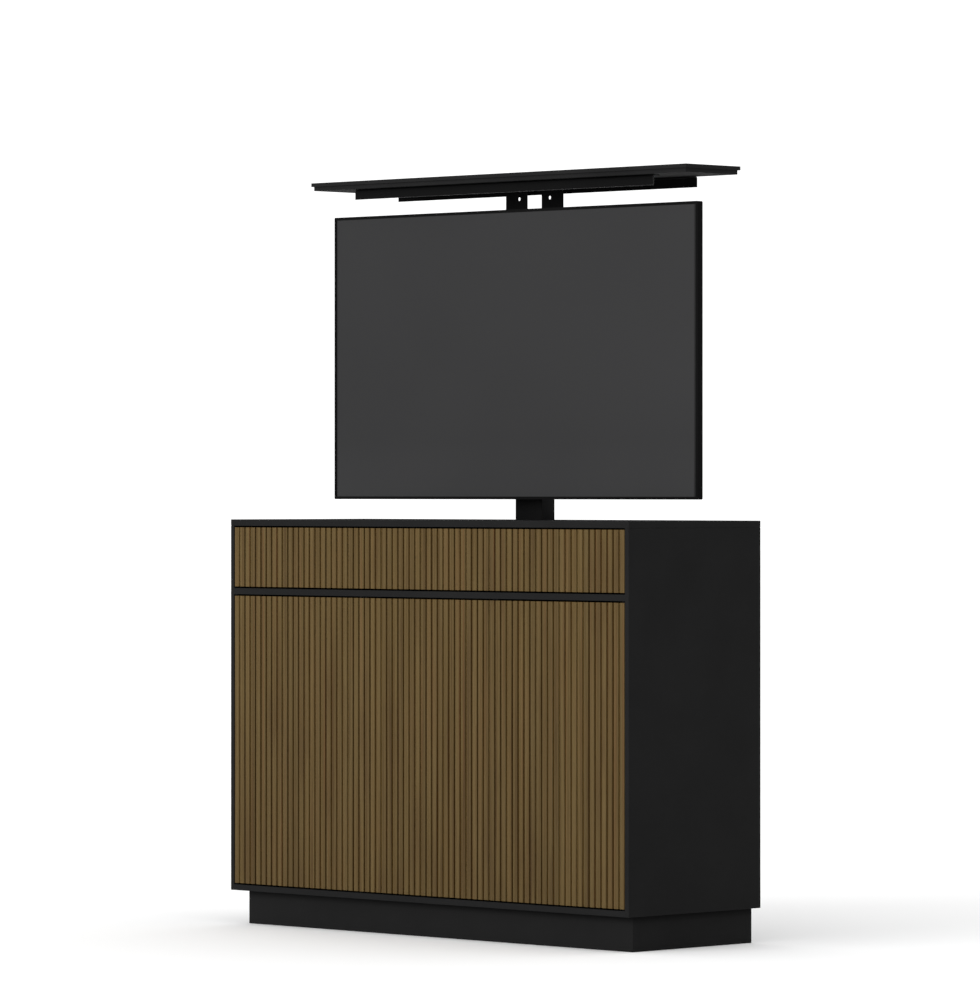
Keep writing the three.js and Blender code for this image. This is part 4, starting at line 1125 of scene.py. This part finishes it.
TV_SCREW_INSET = 0.012
TV_ROW_FROM_END = 3 * TV_SCREW_INSET
TV_COLUMN_FROM_END = 0.1
TV_SCREWS_ACROSS = 6
TV_SCREWS_UP = 4
SHEET_SCREW = 0.0030
HOUSING_SCREW = 0.0034
housing_x = HOUSING_WIDTH / 2 - HOUSING_SLOPE - TV_SCREW_INSET
housing_bottom = low("tv_frame").z + HOUSING_RISE + HOUSING_SLOPE + TV_SCREW_INSET
housing_top = housing_bottom + HOUSING_HEIGHT - 2 * (HOUSING_SLOPE + TV_SCREW_INSET)
housing_back = high("tv_back_cover").y
sheet_back = high("tv_frame").y


def television_screws():
    """Screws round the back cover's edge, and along the top and bottom of its housing."""
    cover = "tv_back_cover"
    inset = TV_SCREW_INSET
    left, right = low(cover).x, high(cover).x
    bottom, top = low(cover).z, high(cover).z
    row = spread(left + TV_ROW_FROM_END, right - TV_ROW_FROM_END, TV_SCREWS_ACROSS)
    column = spread(bottom + TV_COLUMN_FROM_END, top - TV_COLUMN_FROM_END, TV_SCREWS_UP)
    places = [(x, z) for z in (bottom + inset, top - inset) for x in row]
    places += [(x, z) for x in (left + inset, right - inset) for z in column]
    screws = Piece("tv_cover_screws", "black_steel", "lift_inner")
    for x, z in places:
        screws.head(DOMED_SCREW, "back", (x, sheet_back, z), SHEET_SCREW)
    for z in (housing_bottom, housing_top):
        for x in (-housing_x, -housing_x / 2, housing_x / 2, housing_x):
            screws.head(DOMED_SCREW, "back", (x, housing_back, z), HOUSING_SCREW)
    screws.done()


LOUVRE_START = 0.150
LOUVRES = 40
LOUVRE_PITCH = 0.0085
LOUVRE_WIDTH = 0.0028
LOUVRE_RADIUS = 0.0012
UPPER_LOUVRE_RISE = 0.075
UPPER_LOUVRE = {"height": 0.040, "thickness": 0.0022, "bevel": 0.0006}
LOWER_LOUVRE_DROP = 0.040
LOWER_LOUVRE = {"height": 0.036, "thickness": 0.0016, "bevel": 0.0005}


def television_louvres():
    """A long row on each side above the housing, and a short one on the housing itself."""
    louvres = Piece("tv_louvres", "black_plastic", "lift_inner")
    upper_z = housing_top + UPPER_LOUVRE_RISE
    lower_z = housing_top - LOWER_LOUVRE_DROP
    size = {"width": LOUVRE_WIDTH, "radius": LOUVRE_RADIUS}
    for sign in (-1, 1):
        for i in range(LOUVRES):
            x = sign * (LOUVRE_START + i * LOUVRE_PITCH)
            louvres.plate("back", (x, sheet_back, upper_z), **size, **UPPER_LOUVRE)
            if i < LOUVRES // 2:
                louvres.plate("back", (x, housing_back, lower_z), **size, **LOWER_LOUVRE)
    louvres.done()


# Widths and heights of the ports, from the bottom up
PORTS = [(0.017, 0.008)] * 3 + [(0.015, 0.008)] * 2 + [(0.017, 0.015), (0.011, 0.011)]
PORT_PITCH = 0.020
PORT_START = 0.013
PORT_RIM = 0.0008
PORT_FLOOR_INSET = 0.0010
TONGUE_WIDTH_SHARE = 0.6
TONGUE_HEIGHT_SHARE = 0.16
TONGUE_RADIUS = 0.0005
TRAY_WIDTH = 0.034
TRAY_MARGIN = 0.006
TRAY_RISE = 0.0010
TRAY_RADIUS = 0.003
PORTS_FROM_EDGE = 0.045
PORTS_FROM_BOTTOM = 0.050
INLET = {"width": 0.026, "height": 0.018, "rim": 0.0022, "thickness": 0.0024}
INLET_PIN = [(0.0013, 0), (0.0013, 0.0014), (0.0008, 0.0018)]
INLET_PIN_X = 0.004


def television_ports():
    """A column of ports in a tray, with a tongue in each wide one, and the two-pin power inlet."""
    sockets = Piece("tv_sockets", "zinc_steel", "lift_inner")
    tray = Piece("tv_socket_tray", "black_plastic", "lift_inner")
    x = -housing_x + PORTS_FROM_EDGE
    base = housing_bottom + PORTS_FROM_BOTTOM
    tray_height = PORT_PITCH * len(PORTS) + TRAY_MARGIN
    tray_place = (x, housing_back, base + tray_height / 2)
    tray.plate("back", tray_place, TRAY_WIDTH, tray_height, TRAY_RISE, TRAY_RADIUS, 2 * STEP)
    y = housing_back + TRAY_RISE
    for i, (width, height) in enumerate(PORTS):
        z = base + PORT_START + i * PORT_PITCH
        sockets.socket("back", (x, y, z), width, height, PORT_RIM)
        floor_width, floor_height = width - 2 * PORT_FLOOR_INSET, height - 2 * PORT_FLOOR_INSET
        tray.plate("back", (x, y + STEP, z), floor_width, floor_height, 2 * STEP)
        if width > height:
            tongue = (width * TONGUE_WIDTH_SHARE, height * TONGUE_HEIGHT_SHARE)
            tray.plate("back", (x, y + 3 * STEP, z + height / 8), *tongue, 3 * STEP, TONGUE_RADIUS)
    inlet_x = housing_x - PORTS_FROM_EDGE
    tray.socket("back", (inlet_x, housing_back, base), **INLET)
    for pin_x in (inlet_x - INLET_PIN_X, inlet_x + INLET_PIN_X):
        sockets.turn(INLET_PIN, "back", (pin_x, housing_back + STEP, base))
    sockets.done()
    tray.done()


RAIL_SCREW = 0.0055
RAIL_SCREWS_FROM_BOTTOM = (0.016, 0.040)


def television_rail_bolts():
    bolts = Piece("tv_rail_bolts", "zinc_steel", "lift_inner")
    for side in SIDES:
        rail = f"tv_rail_{side}"
        for rise in RAIL_SCREWS_FROM_BOTTOM:
            place = (middle(rail).x, low(rail).y + RAIL_SHEET, low(rail).z + rise)
            bolts.head(DOMED_SCREW, "back", place, RAIL_SCREW)
    bolts.done()


glue_lines()
door_fittings()
latch_screws()
shelf_fittings()
drawer_fittings()
back_screws()
cable_grommets()
column_fittings()
carriage_fittings()
drive_fittings()
television_screws()
television_louvres()
television_ports()
television_rail_bolts()
